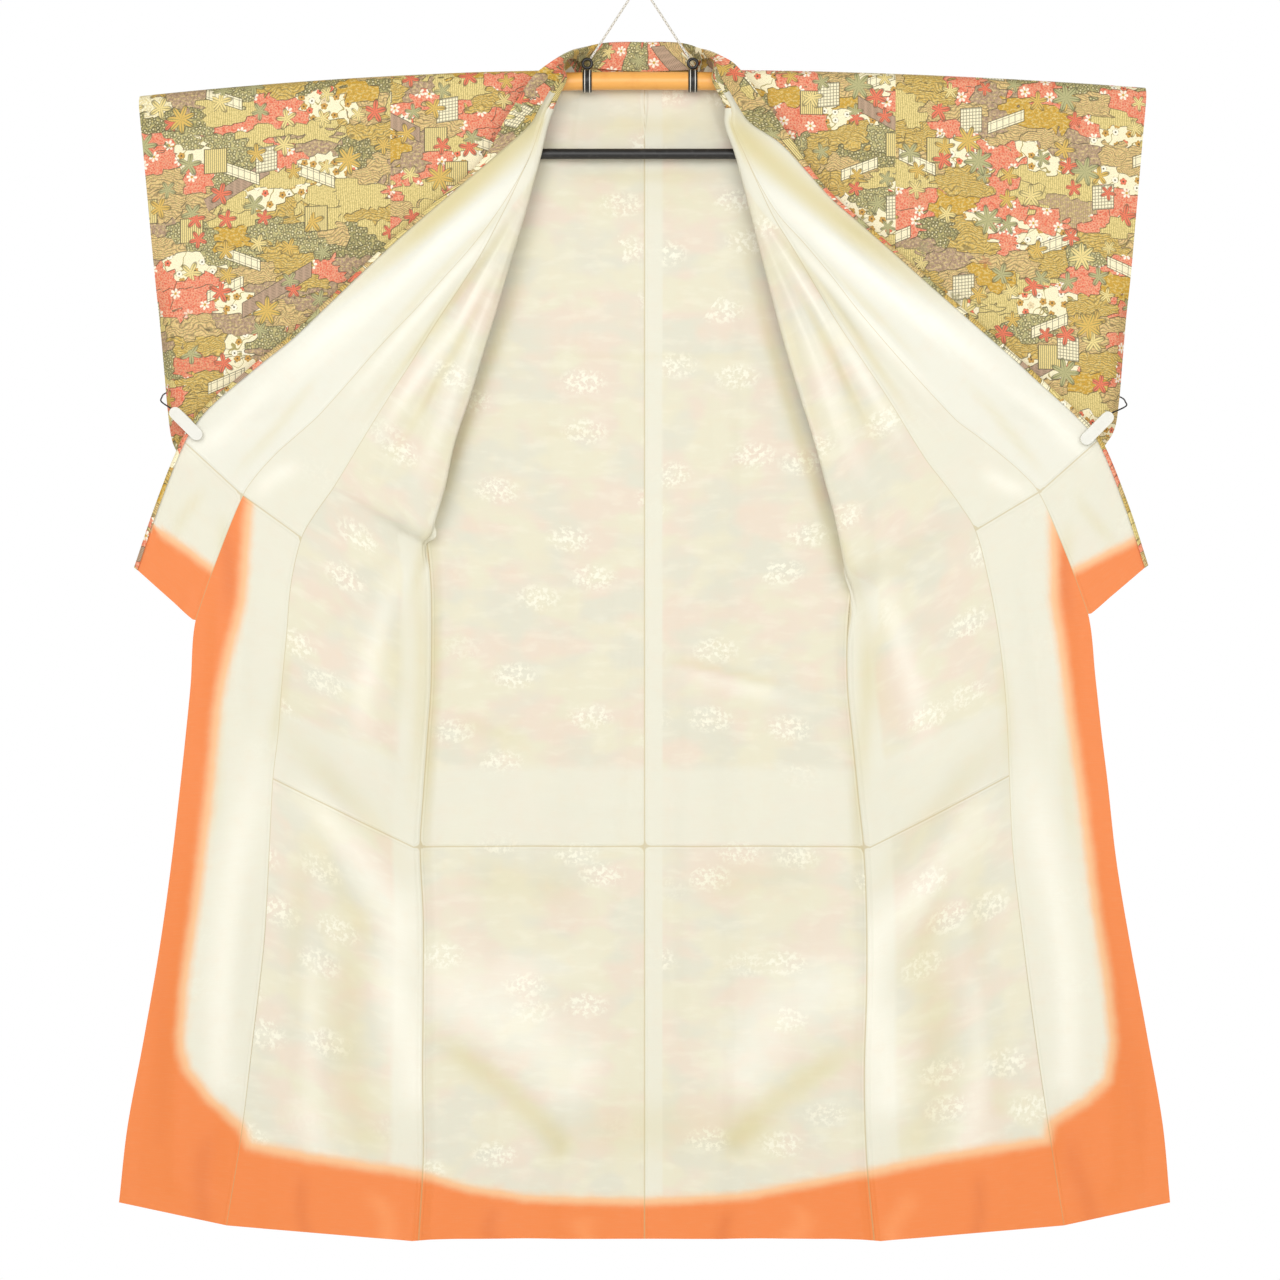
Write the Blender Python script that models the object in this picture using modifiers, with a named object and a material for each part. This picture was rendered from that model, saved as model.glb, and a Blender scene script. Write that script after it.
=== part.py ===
"""Komon kimono hung on a bowed rod, its fronts opened like doors.

The model's own frame is in metres, +Z up, with -Y towards the viewer. Its origin is where a wall hook holds
the ring that the two white cords meet in. Tables and named sizes below are in centimetres. In the tables,
"out" is the distance from the kimono's centre line towards one side, "drop" is the distance below the middle
of the rod, and "y" is the depth, smaller towards the viewer.
"""
import math

import bmesh
import bpy
from mathutils import Vector

CM = 0.01

# What holds the kimono
ROD_DROP = 13.8
ROD_RADIUS = 1.2
ROD_HALF_LENGTH = 63.5
ROD_END_TILT = 0.12
LOWER_ROD_RADIUS = 0.7
LOWER_ROD_DROP = 9.7
RING_OUT = 7.0
RING_RADIUS = 1.5
RING_WIDTH = 1.2
HOOK_RADIUS = 0.6
HOOK_WIRE = 0.2
CORD_RADIUS = 0.15
HANG_RING_RADIUS = 0.9
HANG_RING_WIRE = 0.17
END_BAR_WIDTH = 2.0
END_BAR_THICKNESS = 0.5
CLIP_WIDTH = 1.6
CLIP_THICKNESS = 1.36
CLIP_SLOT = 0.80
CLIP_BOSS = 1.3
CLIP_Y = -3.40
CLIP_ROW = 0.84
# Centres of a clip's round ends, (out, drop), the outer end first
CLIP_AXIS = {"left": ((61.7, 44.4), (58.9, 47.2)), "right": ((60.9, 45.0), (58.1, 47.8))}
ELASTIC_RADIUS = 0.1
# The elastic round the sleeve's edge: past the edge (out), drop below the clip's outer end, y
ELASTIC_ROUTE = [(0.45, -1.6, -2.6), (0.6, -2.3, -1.2), (0.6, -2.8, 0.3), (0.2, -3.2, 1.5), (-0.5, -3.5, 2.1)]
KNOT_RADIUS = 0.4

# The cloth
CENTRE_X = 0.6
OUTER_WALL = 0.12
LINING_WALL = 0.10
LAYER_GAP = 0.03
SEAM_INSET = 0.017
DRAPE_RADIUS = 1.44
CREASE_RADIUS = 0.55
NECK_CURL_LENGTH = math.pi * CREASE_RADIUS
NECK_STRIP = 0.3
NECK_OUT = 10.6
NECK_STAND_OFF = 0.48
NECK_SPREAD = 0.9
SIDE_SLOPE = 0.4
FLAT_SPACING = 0.5
UPRIGHT_SPACING = 0.28
UNFOLDING = 6.5
COLLAR_TURN_MARGIN = 0.9
SLEEVE_ATTACHED = 23.0
SIDE_SEAM_START = 38.0
SHOULDER_BACK_DROP = 8.0
SHOULDER_FRONT_DROP = 10.0
LINING_SEAM_DROP = 101.7
COLLAR_FOLD_OFFSET = 0.3
NECK_FOLD_OFFSET = 0.5
NECK_SEAM_INSET = 0.05
COLLAR_FOLD_LENGTH = 0.2
COLLAR_ROOT = 0.4

# How far in from the side edge the panel's first columns lie, and how much of the panel's depth each has
SIDE_COLUMNS = [(0.0, 0.0), (0.7, 0.7), (1.5, 0.95)]

# Angles over the rod, from the back to the front, in degrees, and how far the neck edge curls up at each
SHOULDER_ROWS = [(36.0, 25.0), (72.0, 45.0), (108.0, 70.0), (144.0, 105.0)]

# Drops of the rows of the body panels
BACK_ROWS = [0.0, 8.0, 16.0, 24.0, 31.0, 38.0, 46.0, 54.0, 61.5, 65.0, 69.0, 75.0, 81.0, 88.0, 95.0, 101.7,
             111.0, 121.0, 132.0, 143.0, 153.9]
FRONT_ROWS = [0.0, 2.0, 4.0, 6.0, 10.0, 14.5, 19.5, 25.0, 30.5, 36.0, 42.0, 48.0, 54.0, 58.0, 61.5, 65.0,
              69.0, 75.0, 81.0, 88.0, 95.0, 101.7, 111.0, 121.0, 132.0, 143.0, 153.9]
KENSAKI_DROP = 14.5

# drop, start of the curl (out), curl in degrees
NECK_CURL = [(0.0, 10.9, 140.0), (2.0, 11.7, 160.0), (4.0, 12.6, 174.0), (6.0, 13.3, 180.0)]

# Left side. drop of the row, side edge (out), crease (out), inner seam (out, drop, y)
LEFT_FRONT = [
    (6.0, 33.6, 12.75, 13.6, 6.1, -2.47),
    (10.0, 33.6, 13.7, 14.8, 9.7, -2.55),
    (14.5, 33.6, 14.9, 16.5, 13.5, -2.65),
    (19.5, 33.6, 16.3, 18.7, 18.1, -2.75),
    (25.0, 33.4, 18.0, 21.5, 23.4, -2.8),
    (30.5, 33.0, 19.6, 24.3, 27.8, -2.8),
    (36.0, 32.4, 20.8, 27.2, 32.2, -2.8),
    (42.0, 31.8, 22.4, 30.5, 37.4, -2.8),
    (48.0, 31.1, 24.2, 33.8, 42.5, -2.8),
    (54.0, 30.3, 26.4, 37.1, 47.8, -2.8),
    (58.0, 29.7, 27.6, 39.2, 51.3, -2.75),
    (61.5, 28.9, 28.6, 41.2, 54.5, -2.7),
    (65.0, 28.5, 28.5, 43.6, 57.9, -2.65),
    (69.0, 28.3, 28.3, 45.2, 60.8, -2.6),
    (75.0, 28.3, 28.3, 46.6, 66.8, -2.45),
    (81.0, 28.4, 28.4, 47.2, 73.6, -2.3),
    (88.0, 28.9, 28.9, 47.9, 80.6, -2.15),
    (95.0, 29.4, 29.4, 48.4, 86.6, -2.1),
    (101.7, 29.8, 29.8, 49.1, 92.6, -2.0),
    (111.0, 29.4, 29.4, 49.6, 103.4, -1.9),
    (121.0, 29.4, 29.4, 50.2, 114.2, -1.8),
    (132.0, 29.5, 29.5, 51.6, 126.7, -1.8),
    (143.0, 29.4, 29.4, 53.2, 139.6, -1.8),
    (153.9, 30.0, 30.0, 55.2, 151.6, -1.8),
]
RIGHT_FRONT = [
    (6.0, 33.2, 10.6, 11.5, 6.2, -2.47),
    (10.0, 33.2, 12.0, 13.0, 9.8, -2.55),
    (14.5, 33.2, 13.2, 14.8, 13.9, -2.65),
    (19.5, 33.2, 14.5, 16.9, 18.4, -2.75),
    (25.0, 33.0, 15.9, 19.5, 22.6, -2.8),
    (30.5, 32.7, 17.3, 22.4, 27.4, -2.8),
    (36.0, 32.2, 18.8, 25.3, 32.3, -2.8),
    (42.0, 31.6, 20.6, 28.7, 37.5, -2.8),
    (48.0, 31.0, 22.5, 32.0, 42.4, -2.8),
    (54.0, 30.2, 24.1, 35.2, 47.6, -2.8),
    (58.0, 29.5, 25.1, 37.4, 51.0, -2.8),
    (61.5, 28.8, 26.0, 39.6, 53.8, -2.75),
    (65.0, 28.0, 26.9, 41.5, 56.4, -2.7),
    (69.0, 27.3, 27.2, 43.6, 59.8, -2.6),
    (75.0, 26.9, 26.9, 45.3, 66.2, -2.45),
    (81.0, 27.0, 27.0, 46.5, 72.4, -2.3),
    (88.0, 27.7, 27.7, 47.4, 79.3, -2.15),
    (95.0, 28.4, 28.4, 47.9, 86.0, -2.1),
    (101.7, 29.1, 29.1, 48.2, 92.2, -2.0),
    (111.0, 29.5, 29.5, 48.7, 102.6, -1.9),
    (121.0, 29.5, 29.5, 50.0, 114.4, -1.8),
    (132.0, 29.2, 29.2, 51.6, 127.2, -1.8),
    (143.0, 29.5, 29.5, 53.5, 139.9, -1.8),
    (153.9, 30.5, 30.5, 55.4, 151.6, -1.8),
]

# Outer edge of the overlap panels on the same rows. drop of the row, collar seam or free edge (out, drop, y)
LEFT_OVERLAP = [
    (14.5, 16.62, 13.43, -2.66),
    (19.5, 19.4, 17.9, -2.76),
    (25.0, 22.9, 22.6, -2.83),
    (30.5, 26.4, 26.5, -2.87),
    (36.0, 30.1, 30.6, -2.9),
    (42.0, 34.6, 35.3, -2.95),
    (48.0, 38.6, 39.9, -3.0),
    (54.0, 42.8, 44.6, -3.05),
    (58.0, 45.9, 47.4, -3.05),
    (61.5, 48.5, 49.7, -3.0),
    (65.0, 50.9, 52.3, -2.95),
    (69.0, 52.9, 55.2, -2.9),
    (75.0, 56.2, 63.2, -2.75),
    (81.0, 59.2, 71.6, -2.6),
    (88.0, 59.9, 80.3, -2.5),
    (95.0, 60.6, 87.2, -2.4),
    (101.7, 61.3, 93.6, -2.3),
    (111.0, 62.6, 104.6, -2.2),
    (121.0, 64.2, 115.6, -2.1),
    (132.0, 66.2, 127.2, -2.1),
    (143.0, 68.3, 138.6, -2.1),
    (153.9, 69.4, 148.5, -2.1),
]
RIGHT_OVERLAP = [
    (14.5, 14.92, 13.83, -2.66),
    (19.5, 17.6, 18.2, -2.76),
    (25.0, 20.9, 21.9, -2.83),
    (30.5, 24.5, 26.2, -2.87),
    (36.0, 28.0, 30.7, -2.9),
    (42.0, 32.4, 35.9, -2.95),
    (48.0, 36.6, 40.6, -3.0),
    (54.0, 40.9, 45.2, -3.05),
    (58.0, 43.8, 47.4, -3.05),
    (61.5, 46.6, 49.6, -3.0),
    (65.0, 49.3, 51.9, -2.95),
    (69.0, 51.9, 54.8, -2.9),
    (75.0, 55.5, 62.8, -2.75),
    (81.0, 58.5, 70.8, -2.6),
    (88.0, 59.5, 79.3, -2.5),
    (95.0, 60.3, 86.5, -2.4),
    (101.7, 61.1, 92.8, -2.3),
    (111.0, 62.3, 103.4, -2.2),
    (121.0, 64.2, 114.6, -2.1),
    (132.0, 66.3, 126.0, -2.1),
    (143.0, 68.4, 138.0, -2.1),
    (153.9, 69.4, 148.5, -2.1),
]
OVERLAP_LINING_SEAM_DROP = 69.0
COLLAR_END_DROP = 81.0

# Outer edge of the collar. drop of the row that meets its seam, edge (out, drop, y), width turned in
LEFT_COLLAR = [
    (0.0, 12.8, -1.2, -5.4, 4.2),
    (2.0, 14.7, 0.4, -5.3, 4.4),
    (4.0, 16.5, 3.1, -4.9, 4.4),
    (6.0, 18.3, 5.9, -4.3, 3.4),
    (10.0, 20.6, 10.1, -3.6, 1.5),
    (14.5, 23.3, 13.0, -3.2, 0.6),
    (19.5, 26.9, 16.1, -3.2, 0.5),
    (25.0, 30.7, 19.3, -3.2, 0.5),
    (30.5, 34.5, 22.7, -3.2, 0.5),
    (36.0, 38.0, 26.0, -3.3, 0.5),
    (42.0, 42.6, 30.4, -3.4, 0.5),
    (48.0, 46.7, 34.3, -3.5, 0.5),
    (54.0, 50.6, 37.4, -3.5, 0.5),
    (58.0, 53.4, 39.7, -3.5, 0.5),
    (61.5, 56.3, 42.1, -3.4, 0.5),
    (65.0, 58.6, 44.4, -3.3, 0.5),
    (69.0, 60.9, 47.9, -3.2, 0.5),
    (75.0, 64.2, 56.0, -3.0, 0.5),
    (81.0, 67.2, 64.7, -2.8, 0.5),
]
RIGHT_COLLAR = [
    (0.0, 11.8, -1.3, -5.4, 4.2),
    (2.0, 13.5, 0.6, -5.3, 4.4),
    (4.0, 15.1, 2.8, -4.9, 4.4),
    (6.0, 17.0, 5.2, -4.3, 3.4),
    (10.0, 19.4, 8.6, -3.6, 1.5),
    (14.5, 22.1, 12.6, -3.2, 0.6),
    (19.5, 25.1, 16.0, -3.2, 0.5),
    (25.0, 28.8, 19.2, -3.2, 0.5),
    (30.5, 32.6, 22.5, -3.2, 0.5),
    (36.0, 36.3, 25.8, -3.3, 0.5),
    (42.0, 40.6, 29.6, -3.4, 0.5),
    (48.0, 44.9, 33.4, -3.5, 0.5),
    (54.0, 49.0, 37.0, -3.5, 0.5),
    (58.0, 51.9, 39.7, -3.5, 0.5),
    (61.5, 54.7, 42.2, -3.4, 0.5),
    (65.0, 57.4, 44.7, -3.3, 0.5),
    (69.0, 60.0, 47.7, -3.2, 0.5),
    (75.0, 63.5, 56.0, -3.0, 0.5),
    (81.0, 66.3, 64.4, -2.8, 0.5),
]
# The collar round the neck. fraction from the centre back to the front of the rod, edge (out, drop, y),
# width turned in
LEFT_NECK = [
    (0.0, 0.0, -5.5, 2.6, 4.1),
    (0.2, 3.7, -5.5, 2.5, 4.1),
    (0.4, 6.6, -5.1, 1.4, 4.1),
    (0.6, 8.4, -4.2, -1.2, 4.2),
    (0.8, 10.4, -2.9, -4.2, 4.2),
    (1.0, 12.8, -1.2, -5.4, 4.2),
]
RIGHT_NECK = [
    (0.0, 0.0, -5.5, 2.6, 4.1),
    (0.2, 3.3, -5.5, 2.5, 4.1),
    (0.4, 5.9, -5.1, 1.4, 4.1),
    (0.6, 7.6, -4.1, -1.2, 4.2),
    (0.8, 9.6, -2.8, -4.2, 4.2),
    (1.0, 11.8, -1.3, -5.4, 4.2),
]
OVER_COLLAR_END_DROP = 36.0
COLLAR_LINING_START = 2.0

# Sleeves: the cuff edge's out at the top and the bottom, the bottom's drop, and the rod's sag per cm squared
LEFT_SLEEVE = {"top_out": 66.9, "bottom_out": 62.6, "bottom_drop": 50.5, "sag": 0.00080}
RIGHT_SLEEVE = {"top_out": 66.4, "bottom_out": 62.4, "bottom_drop": 48.6, "sag": 0.00056}
# Fractions from the rod to the bottom, and from the cuff edge to the seam
SLEEVE_ROWS = [0.0, 0.13, 0.26, 0.39, 0.5, 0.62, 0.75, 0.87, 0.95, 1.0]
SLEEVE_COLUMNS = [0.0, 0.045, 0.12, 0.26, 0.44, 0.64, 0.84, 1.0]
CUFF_OPENING = 25.0
SLEEVE_BOTTOM_TAPER = 3.0
SLEEVE_EDGE_TAPER = 2.4
SLEEVE_CORNER = 1.4

# Largest folds of the back: start (x, drop), end (x, drop), half width, height towards the viewer
BACK_FOLDS = [
    (-22.0, 20.0, -24.5, 150.0, 3.0, 0.5),
    (-14.0, 34.0, -15.5, 152.0, 3.4, -0.4),
    (-6.5, 20.0, -7.0, 150.0, 3.0, 0.45),
    (6.5, 24.0, 7.5, 150.0, 3.2, 0.45),
    (13.5, 30.0, 15.0, 152.0, 3.2, -0.4),
    (21.5, 26.0, 24.0, 150.0, 3.0, 0.5),
]
# Largest folds of the opened fronts, overlap panels and collar: the same columns
FRONT_FOLDS = [
    (-44.5, 70.0, -31.5, 112.0, 3.0, 1.1),
    (-51.0, 74.0, -40.0, 128.0, 3.2, -0.7),
    (-56.0, 80.0, -50.0, 146.0, 3.0, 0.8),
    (-36.0, 112.0, -37.5, 152.0, 3.4, 0.7),
    (-62.0, 100.0, -63.5, 146.0, 2.6, -0.5),
    (-24.0, 30.0, -34.0, 52.0, 1.8, 0.35),
    (44.5, 74.0, 31.5, 116.0, 3.0, 1.1),
    (51.0, 80.0, 40.5, 132.0, 3.2, -0.7),
    (56.0, 84.0, 50.5, 146.0, 3.0, 0.8),
    (36.5, 116.0, 37.5, 152.0, 3.4, 0.7),
    (62.0, 104.0, 63.0, 146.0, 2.6, -0.5),
    (22.0, 30.0, 31.0, 50.0, 1.8, 0.35),
]
SLEEVE_FOLDS = [
    (-40.0, 4.0, -46.0, 42.0, 2.6, 0.3),
    (-56.0, 6.0, -53.0, 42.0, 2.6, -0.3),
    (40.0, 4.0, 46.0, 40.0, 2.6, 0.3),
    (56.0, 6.0, 53.0, 40.0, 2.6, -0.3),
]

LEFT = {"name": "left", "sign": -1, "front": LEFT_FRONT, "overlap": LEFT_OVERLAP, "collar": LEFT_COLLAR,
        "neck": LEFT_NECK, "sleeve": LEFT_SLEEVE, "neck_shift": 0.0, "side_top": 33.6,
        "flat_from": 61.5}
RIGHT = {"name": "right", "sign": 1, "front": RIGHT_FRONT, "overlap": RIGHT_OVERLAP, "collar": RIGHT_COLLAR,
         "neck": RIGHT_NECK, "sleeve": RIGHT_SLEEVE, "neck_shift": -1.4, "side_top": 33.2,
         "flat_from": 65.0}
SIDES = (LEFT, RIGHT)

# Node materials: base colour, roughness, metallic
MATERIALS = {
    "komon_silk": ((0.52, 0.36, 0.22), 0.75, 0.0),
    "cream_lining": ((0.85, 0.81, 0.68), 0.55, 0.0),
    "shaded_lining": ((0.93, 0.62, 0.36), 0.55, 0.0),
    "rod_tan": ((0.88, 0.55, 0.20), 0.4, 0.0),
    "black_plastic": ((0.02, 0.02, 0.022), 0.35, 0.0),
    "white_plastic": ((0.85, 0.85, 0.83), 0.35, 0.0),
    "white_cord": ((0.80, 0.78, 0.74), 0.8, 0.0),
    "black_elastic": ((0.02, 0.02, 0.02), 0.7, 0.0),
}


# Helpers on numbers and tables

def smooth(t):
    t = min(max(t, 0.0), 1.0)
    return t * t * (3.0 - 2.0 * t)


def mix(a, b, t):
    return a + (b - a) * t


def mix_points(p, q, t):
    return tuple(mix(a, b, t) for a, b in zip(p, q))


def read(table, key):
    """The table's columns at a key between its rows, on a smooth curve through them."""
    keys = [row[0] for row in table]
    if key <= keys[0]:
        return table[0][1:]
    if key >= keys[-1]:
        return table[-1][1:]
    i = max(n for n, value in enumerate(keys) if value <= key)
    before, after = max(i - 1, 0), min(i + 2, len(table) - 1)
    span = keys[i + 1] - keys[i]
    t = (key - keys[i]) / span
    columns = []
    for c in range(1, len(table[0])):
        p0, p1, p2, p3 = (table[n][c] for n in (before, i, i + 1, after))
        m1 = (p2 - p0) / (keys[i + 1] - keys[before]) * span
        m2 = (p3 - p1) / (keys[after] - keys[i]) * span
        columns.append((2 * t**3 - 3 * t**2 + 1) * p1 + (t**3 - 2 * t**2 + t) * m1
                       + (3 * t**2 - 2 * t**3) * p2 + (t**3 - t**2) * m2)
    return tuple(columns)


def sag(side, out):
    """How far the bowed rod lies below its middle."""
    return side["sleeve"]["sag"] * out * out


def fold_height(folds, x, drop):
    """Height towards the viewer of soft ridges and troughs, each along a line."""
    height = 0.0
    for x0, d0, x1, d1, width, rise in folds:
        along = ((x - x0) * (x1 - x0) + (drop - d0) * (d1 - d0)) / ((x1 - x0)**2 + (d1 - d0)**2)
        t = min(max(along, 0.0), 1.0)
        distance = math.hypot(x - mix(x0, x1, t), drop - mix(d0, d1, t))
        ends = smooth(along * 3.0) * (1.0 if d1 > 120.0 else smooth((1.0 - along) * 3.0))
        height += rise * ends * math.exp(-(distance / width)**2)
    return height


# Sections of the body panels. A point is (out, drop, y).

def back_depth(side, out, drop):
    """Depth of the back panel: on the rod at the top, behind the rod's rings at the neck."""
    hang = mix(DRAPE_RADIUS, 0.9, smooth((drop - 40.0) / 100.0))
    neck = NECK_STAND_OFF * smooth((NECK_OUT - out) / 2.0) * math.exp(-(drop / 14.0)**2)
    fade = smooth(drop / 30.0) * smooth(out / 3.0 + 0.3)
    return hang + neck - fade * fold_height(BACK_FOLDS, side["sign"] * out, drop)


def side_edges(side, drop):
    """Out of the side edge, and the depths of its back and front edges."""
    out = read(side["front"], drop)[0] if drop > side["front"][0][0] else side["side_top"]
    half_open = mix(DRAPE_RADIUS, SEAM_INSET, smooth((drop - SLEEVE_ATTACHED - 1.0) / 14.0))
    fold = read(side["front"], drop)[1]
    middle = mix(-0.3, 0.0, smooth((out - fold) / 3.0)) if drop > SIDE_SEAM_START else 0.0
    return out, middle + half_open, middle - half_open


def fold_kept(side, drop):
    """1 where the front hangs and folds back at its crease, 0 where it opens straight from the side seam."""
    if drop < side["front"][0][0]:
        return 1.0
    out, crease = read(side["front"], drop)[:2]
    return smooth((out - crease - 0.4) / UNFOLDING)


def neck_columns(start, curl):
    """Advance and lift of the curl's columns and of the seam past it."""
    angle = math.radians(max(curl, 0.5))
    radius = NECK_CURL_LENGTH / angle
    columns = [(radius * math.sin(angle * t), radius * (1.0 - math.cos(angle * t))) for t in (0.0, 0.33, 0.67, 1.0)]
    end = columns[-1]
    for length in (0.5 * NECK_STRIP, NECK_STRIP):
        columns.append((end[0] + length * math.cos(angle), end[1] + length * math.sin(angle)))
    return [(start - advance, lift) for advance, lift in columns]


def back_row(side, drop):
    """Side edge to centre seam."""
    out, edge_y, _ = side_edges(side, drop)
    spread = smooth(drop / 24.0)
    near_neck = [o for o, _ in neck_columns(NECK_OUT + side["neck_shift"], 0.0)]
    near_neck = [mix(out, near_neck[0], 0.5)] + near_neck + [near_neck[-1] * 0.5, 0.0]
    side_outs = [out - inwards for inwards, _ in SIDE_COLUMNS]
    even = [mix(side_outs[-1], 0.0, (k + 1) / len(near_neck)) for k in range(len(near_neck))]
    outs = side_outs + [mix(a, b, spread) for a, b in zip(near_neck, even)]
    top_sag = 1.0 - smooth(drop / 60.0)
    opened = 1.0 - fold_kept(side, drop)
    row = []
    for k, o in enumerate(outs):
        y = back_depth(side, o, drop)
        if k < len(SIDE_COLUMNS):
            y = mix(mix(edge_y, y, SIDE_COLUMNS[k][1]), edge_y + SIDE_SLOPE * (out - o), opened)
        row.append((o, drop + sag(side, o) * top_sag, y))
    return row


def shoulder_row(side, angle, curl):
    """Over the rod, from the sleeve's seam to the neck's edge."""
    out = side["side_top"]
    turned = math.radians(angle)
    start = mix(NECK_OUT, NECK_CURL[0][1], smooth(angle / 180.0)) + side["neck_shift"]
    start += NECK_SPREAD * math.sin(turned)
    points = [(out - inwards, 0.0) for inwards, _ in SIDE_COLUMNS] + [(mix(out, start, 0.5), 0.0)]
    points += neck_columns(start, curl)
    row = []
    for o, lift in points:
        back_lift = NECK_STAND_OFF * smooth((NECK_OUT - o) / 2.0) * (1.0 - smooth(angle / 90.0))
        reach = DRAPE_RADIUS + lift + back_lift
        row.append((o, sag(side, o) - reach * math.sin(turned), reach * math.cos(turned)))
    return row


def hanging_front_row(side, drop):
    """Rows beside the neck, where the edge turns over towards the viewer."""
    out = side_edges(side, drop)[0]
    start, curl = read(NECK_CURL, drop)
    start += side["neck_shift"]
    points = [(out - inwards, 0.0) for inwards, _ in SIDE_COLUMNS] + [(mix(out, start, 0.5), 0.0)]
    points += neck_columns(start, curl)
    top_sag = 1.0 - smooth(drop / 60.0)
    return [(o, drop + sag(side, o) * top_sag, -DRAPE_RADIUS - lift) for o, lift in points]


def folded_front_row(side, drop):
    """Side edge, crease, and the part that is folded out to its inner seam."""
    out, _, edge_y = side_edges(side, drop)
    _, crease, seam_out, seam_drop, seam_y = read(side["front"], drop)
    top_sag = 1.0 - smooth(drop / 60.0)
    inner = crease + CREASE_RADIUS
    folded = [(out - inwards, mix(edge_y, -DRAPE_RADIUS, part)) for inwards, part in SIDE_COLUMNS]
    folded.append((mix(folded[-1][0], inner, 0.5), -DRAPE_RADIUS))
    for turn in (0.0, 60.0, 120.0, 180.0):
        angle = math.radians(turn)
        folded.append((inner - CREASE_RADIUS * math.sin(angle),
                       -DRAPE_RADIUS - CREASE_RADIUS * (1.0 - math.cos(angle))))
    flat = [(out + FLAT_SPACING * k, edge_y - FLAT_SPACING * SIDE_SLOPE * k) for k in range(8)]
    upright = [(out + 0.05 * k, edge_y - UPRIGHT_SPACING * k) for k in range(8)]
    kept = fold_kept(side, drop)
    shapes = (upright, folded, 2.0 * kept - 1.0) if kept > 0.5 else (flat, upright, 2.0 * kept)
    points = [mix_points(f, g, shapes[2]) for f, g in zip(*shapes[:2])]
    row = [(o, drop + sag(side, o) * top_sag * (1.0 if k < 5 else 0.3), y) for k, (o, y) in enumerate(points)]
    end = row[-1]
    seam = (seam_out, seam_drop, seam_y)
    row += [mix_points(end, seam, 0.5), seam]
    return [lift_front(side, point, k >= 7) for k, point in enumerate(row)]


def lift_front(side, point, opened):
    """Adds the largest folds to a point of the part that lies open."""
    if not opened:
        return point
    out, drop, y = point
    return out, drop, y - fold_height(FRONT_FOLDS, side["sign"] * out, drop)


def front_row(side, drop):
    return hanging_front_row(side, drop) if drop < side["front"][0][0] else folded_front_row(side, drop)


# Grids of points in space. Rows run down the cloth, columns across it.

def place(side, point):
    out, drop, y = point
    return Vector((CENTRE_X + side["sign"] * out, y, -ROD_DROP - drop)) * CM


def body_grid(side):
    """The body panel's points, from the back hem over the rod to the front hem. None is the neck's hole."""
    rows = [back_row(side, drop) for drop in reversed(BACK_ROWS)]
    rows += [shoulder_row(side, angle, curl) + [None, None] for angle, curl in SHOULDER_ROWS]
    rows += [front_row(side, drop) + [None, None] for drop in FRONT_ROWS]
    return [[point and place(side, point) for point in row] for row in rows]


def overlap_rows():
    return [drop for drop in FRONT_ROWS if drop >= KENSAKI_DROP]


def overlap_grid(side):
    """From the body's seam to the collar's seam or the free edge."""
    grid = []
    for drop in overlap_rows():
        seam = front_row(side, drop)[-1]
        edge = lift_front(side, read(side["overlap"], drop), True)
        grid.append([place(side, mix_points(seam, edge, t)) for t in (0.0, 0.5, 1.0)])
    return grid


def collar_stations(side):
    """Point inside the seam, seam point, edge point and width turned in, from the centre back to the end."""
    stations = []
    below, top = back_row(side, BACK_ROWS[1]), back_row(side, 0.0)
    neck = [(below[k], top[k]) for k in (-1, -2, -3)]
    neck += [tuple(shoulder_row(side, angle, curl)[-2:]) for angle, curl in SHOULDER_ROWS]
    for k, (inside, seam) in enumerate(neck):
        *edge, turned_in = read(side["neck"], k / len(neck))
        stations.append((inside, seam, tuple(edge), turned_in))
    for drop in FRONT_ROWS:
        if drop > COLLAR_END_DROP:
            break
        inside, seam = front_row(side, drop)[-2:]
        if drop >= KENSAKI_DROP:
            inside, seam = seam, lift_front(side, read(side["overlap"], drop), True)
        *edge, turned_in = read(side["collar"], drop)
        stations.append((inside, seam, tuple(edge), turned_in))
    return stations


def collar_grid(side):
    """Seam, outer half, fold, and the half that is turned in towards the viewer."""
    stations = collar_stations(side)
    seams = [place(side, station[1]) for station in stations]
    edges = [place(side, station[2]) for station in stations]
    grid = []
    neck_end = 3 + len(SHOULDER_ROWS)
    for k, (inside, _, _, turned_in) in enumerate(stations):
        offset = mix(NECK_FOLD_OFFSET, COLLAR_FOLD_OFFSET, smooth((k - neck_end) / 5.0))
        seam, edge = seams[k], edges[k]
        after, before = min(k + 1, len(stations) - 1), max(k - 1, 0)
        along = (seams[after] + edges[after] - seams[before] - edges[before]).normalized()
        root = seam + (seam - place(side, inside)).normalized() * COLLAR_ROOT * CM
        across = (edge - root).normalized()
        inwards = -side["sign"] * across.cross(along).normalized() * offset * CM
        width = (edge - root).length
        crown = width - COLLAR_FOLD_LENGTH * CM
        turned = max(width - turned_in * CM, COLLAR_TURN_MARGIN * CM)
        columns = [(0.0, 0.0), (crown / 3.0, 0.0), (crown / 1.5, 0.0), (crown, 0.0), (width, 0.5),
                   (crown, 1.0), (mix(crown, turned, 0.5), 1.0), (turned, 1.0)]
        grid.append([seam] + [root + across * reach + inwards * lift for reach, lift in columns])
    return grid


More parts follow.
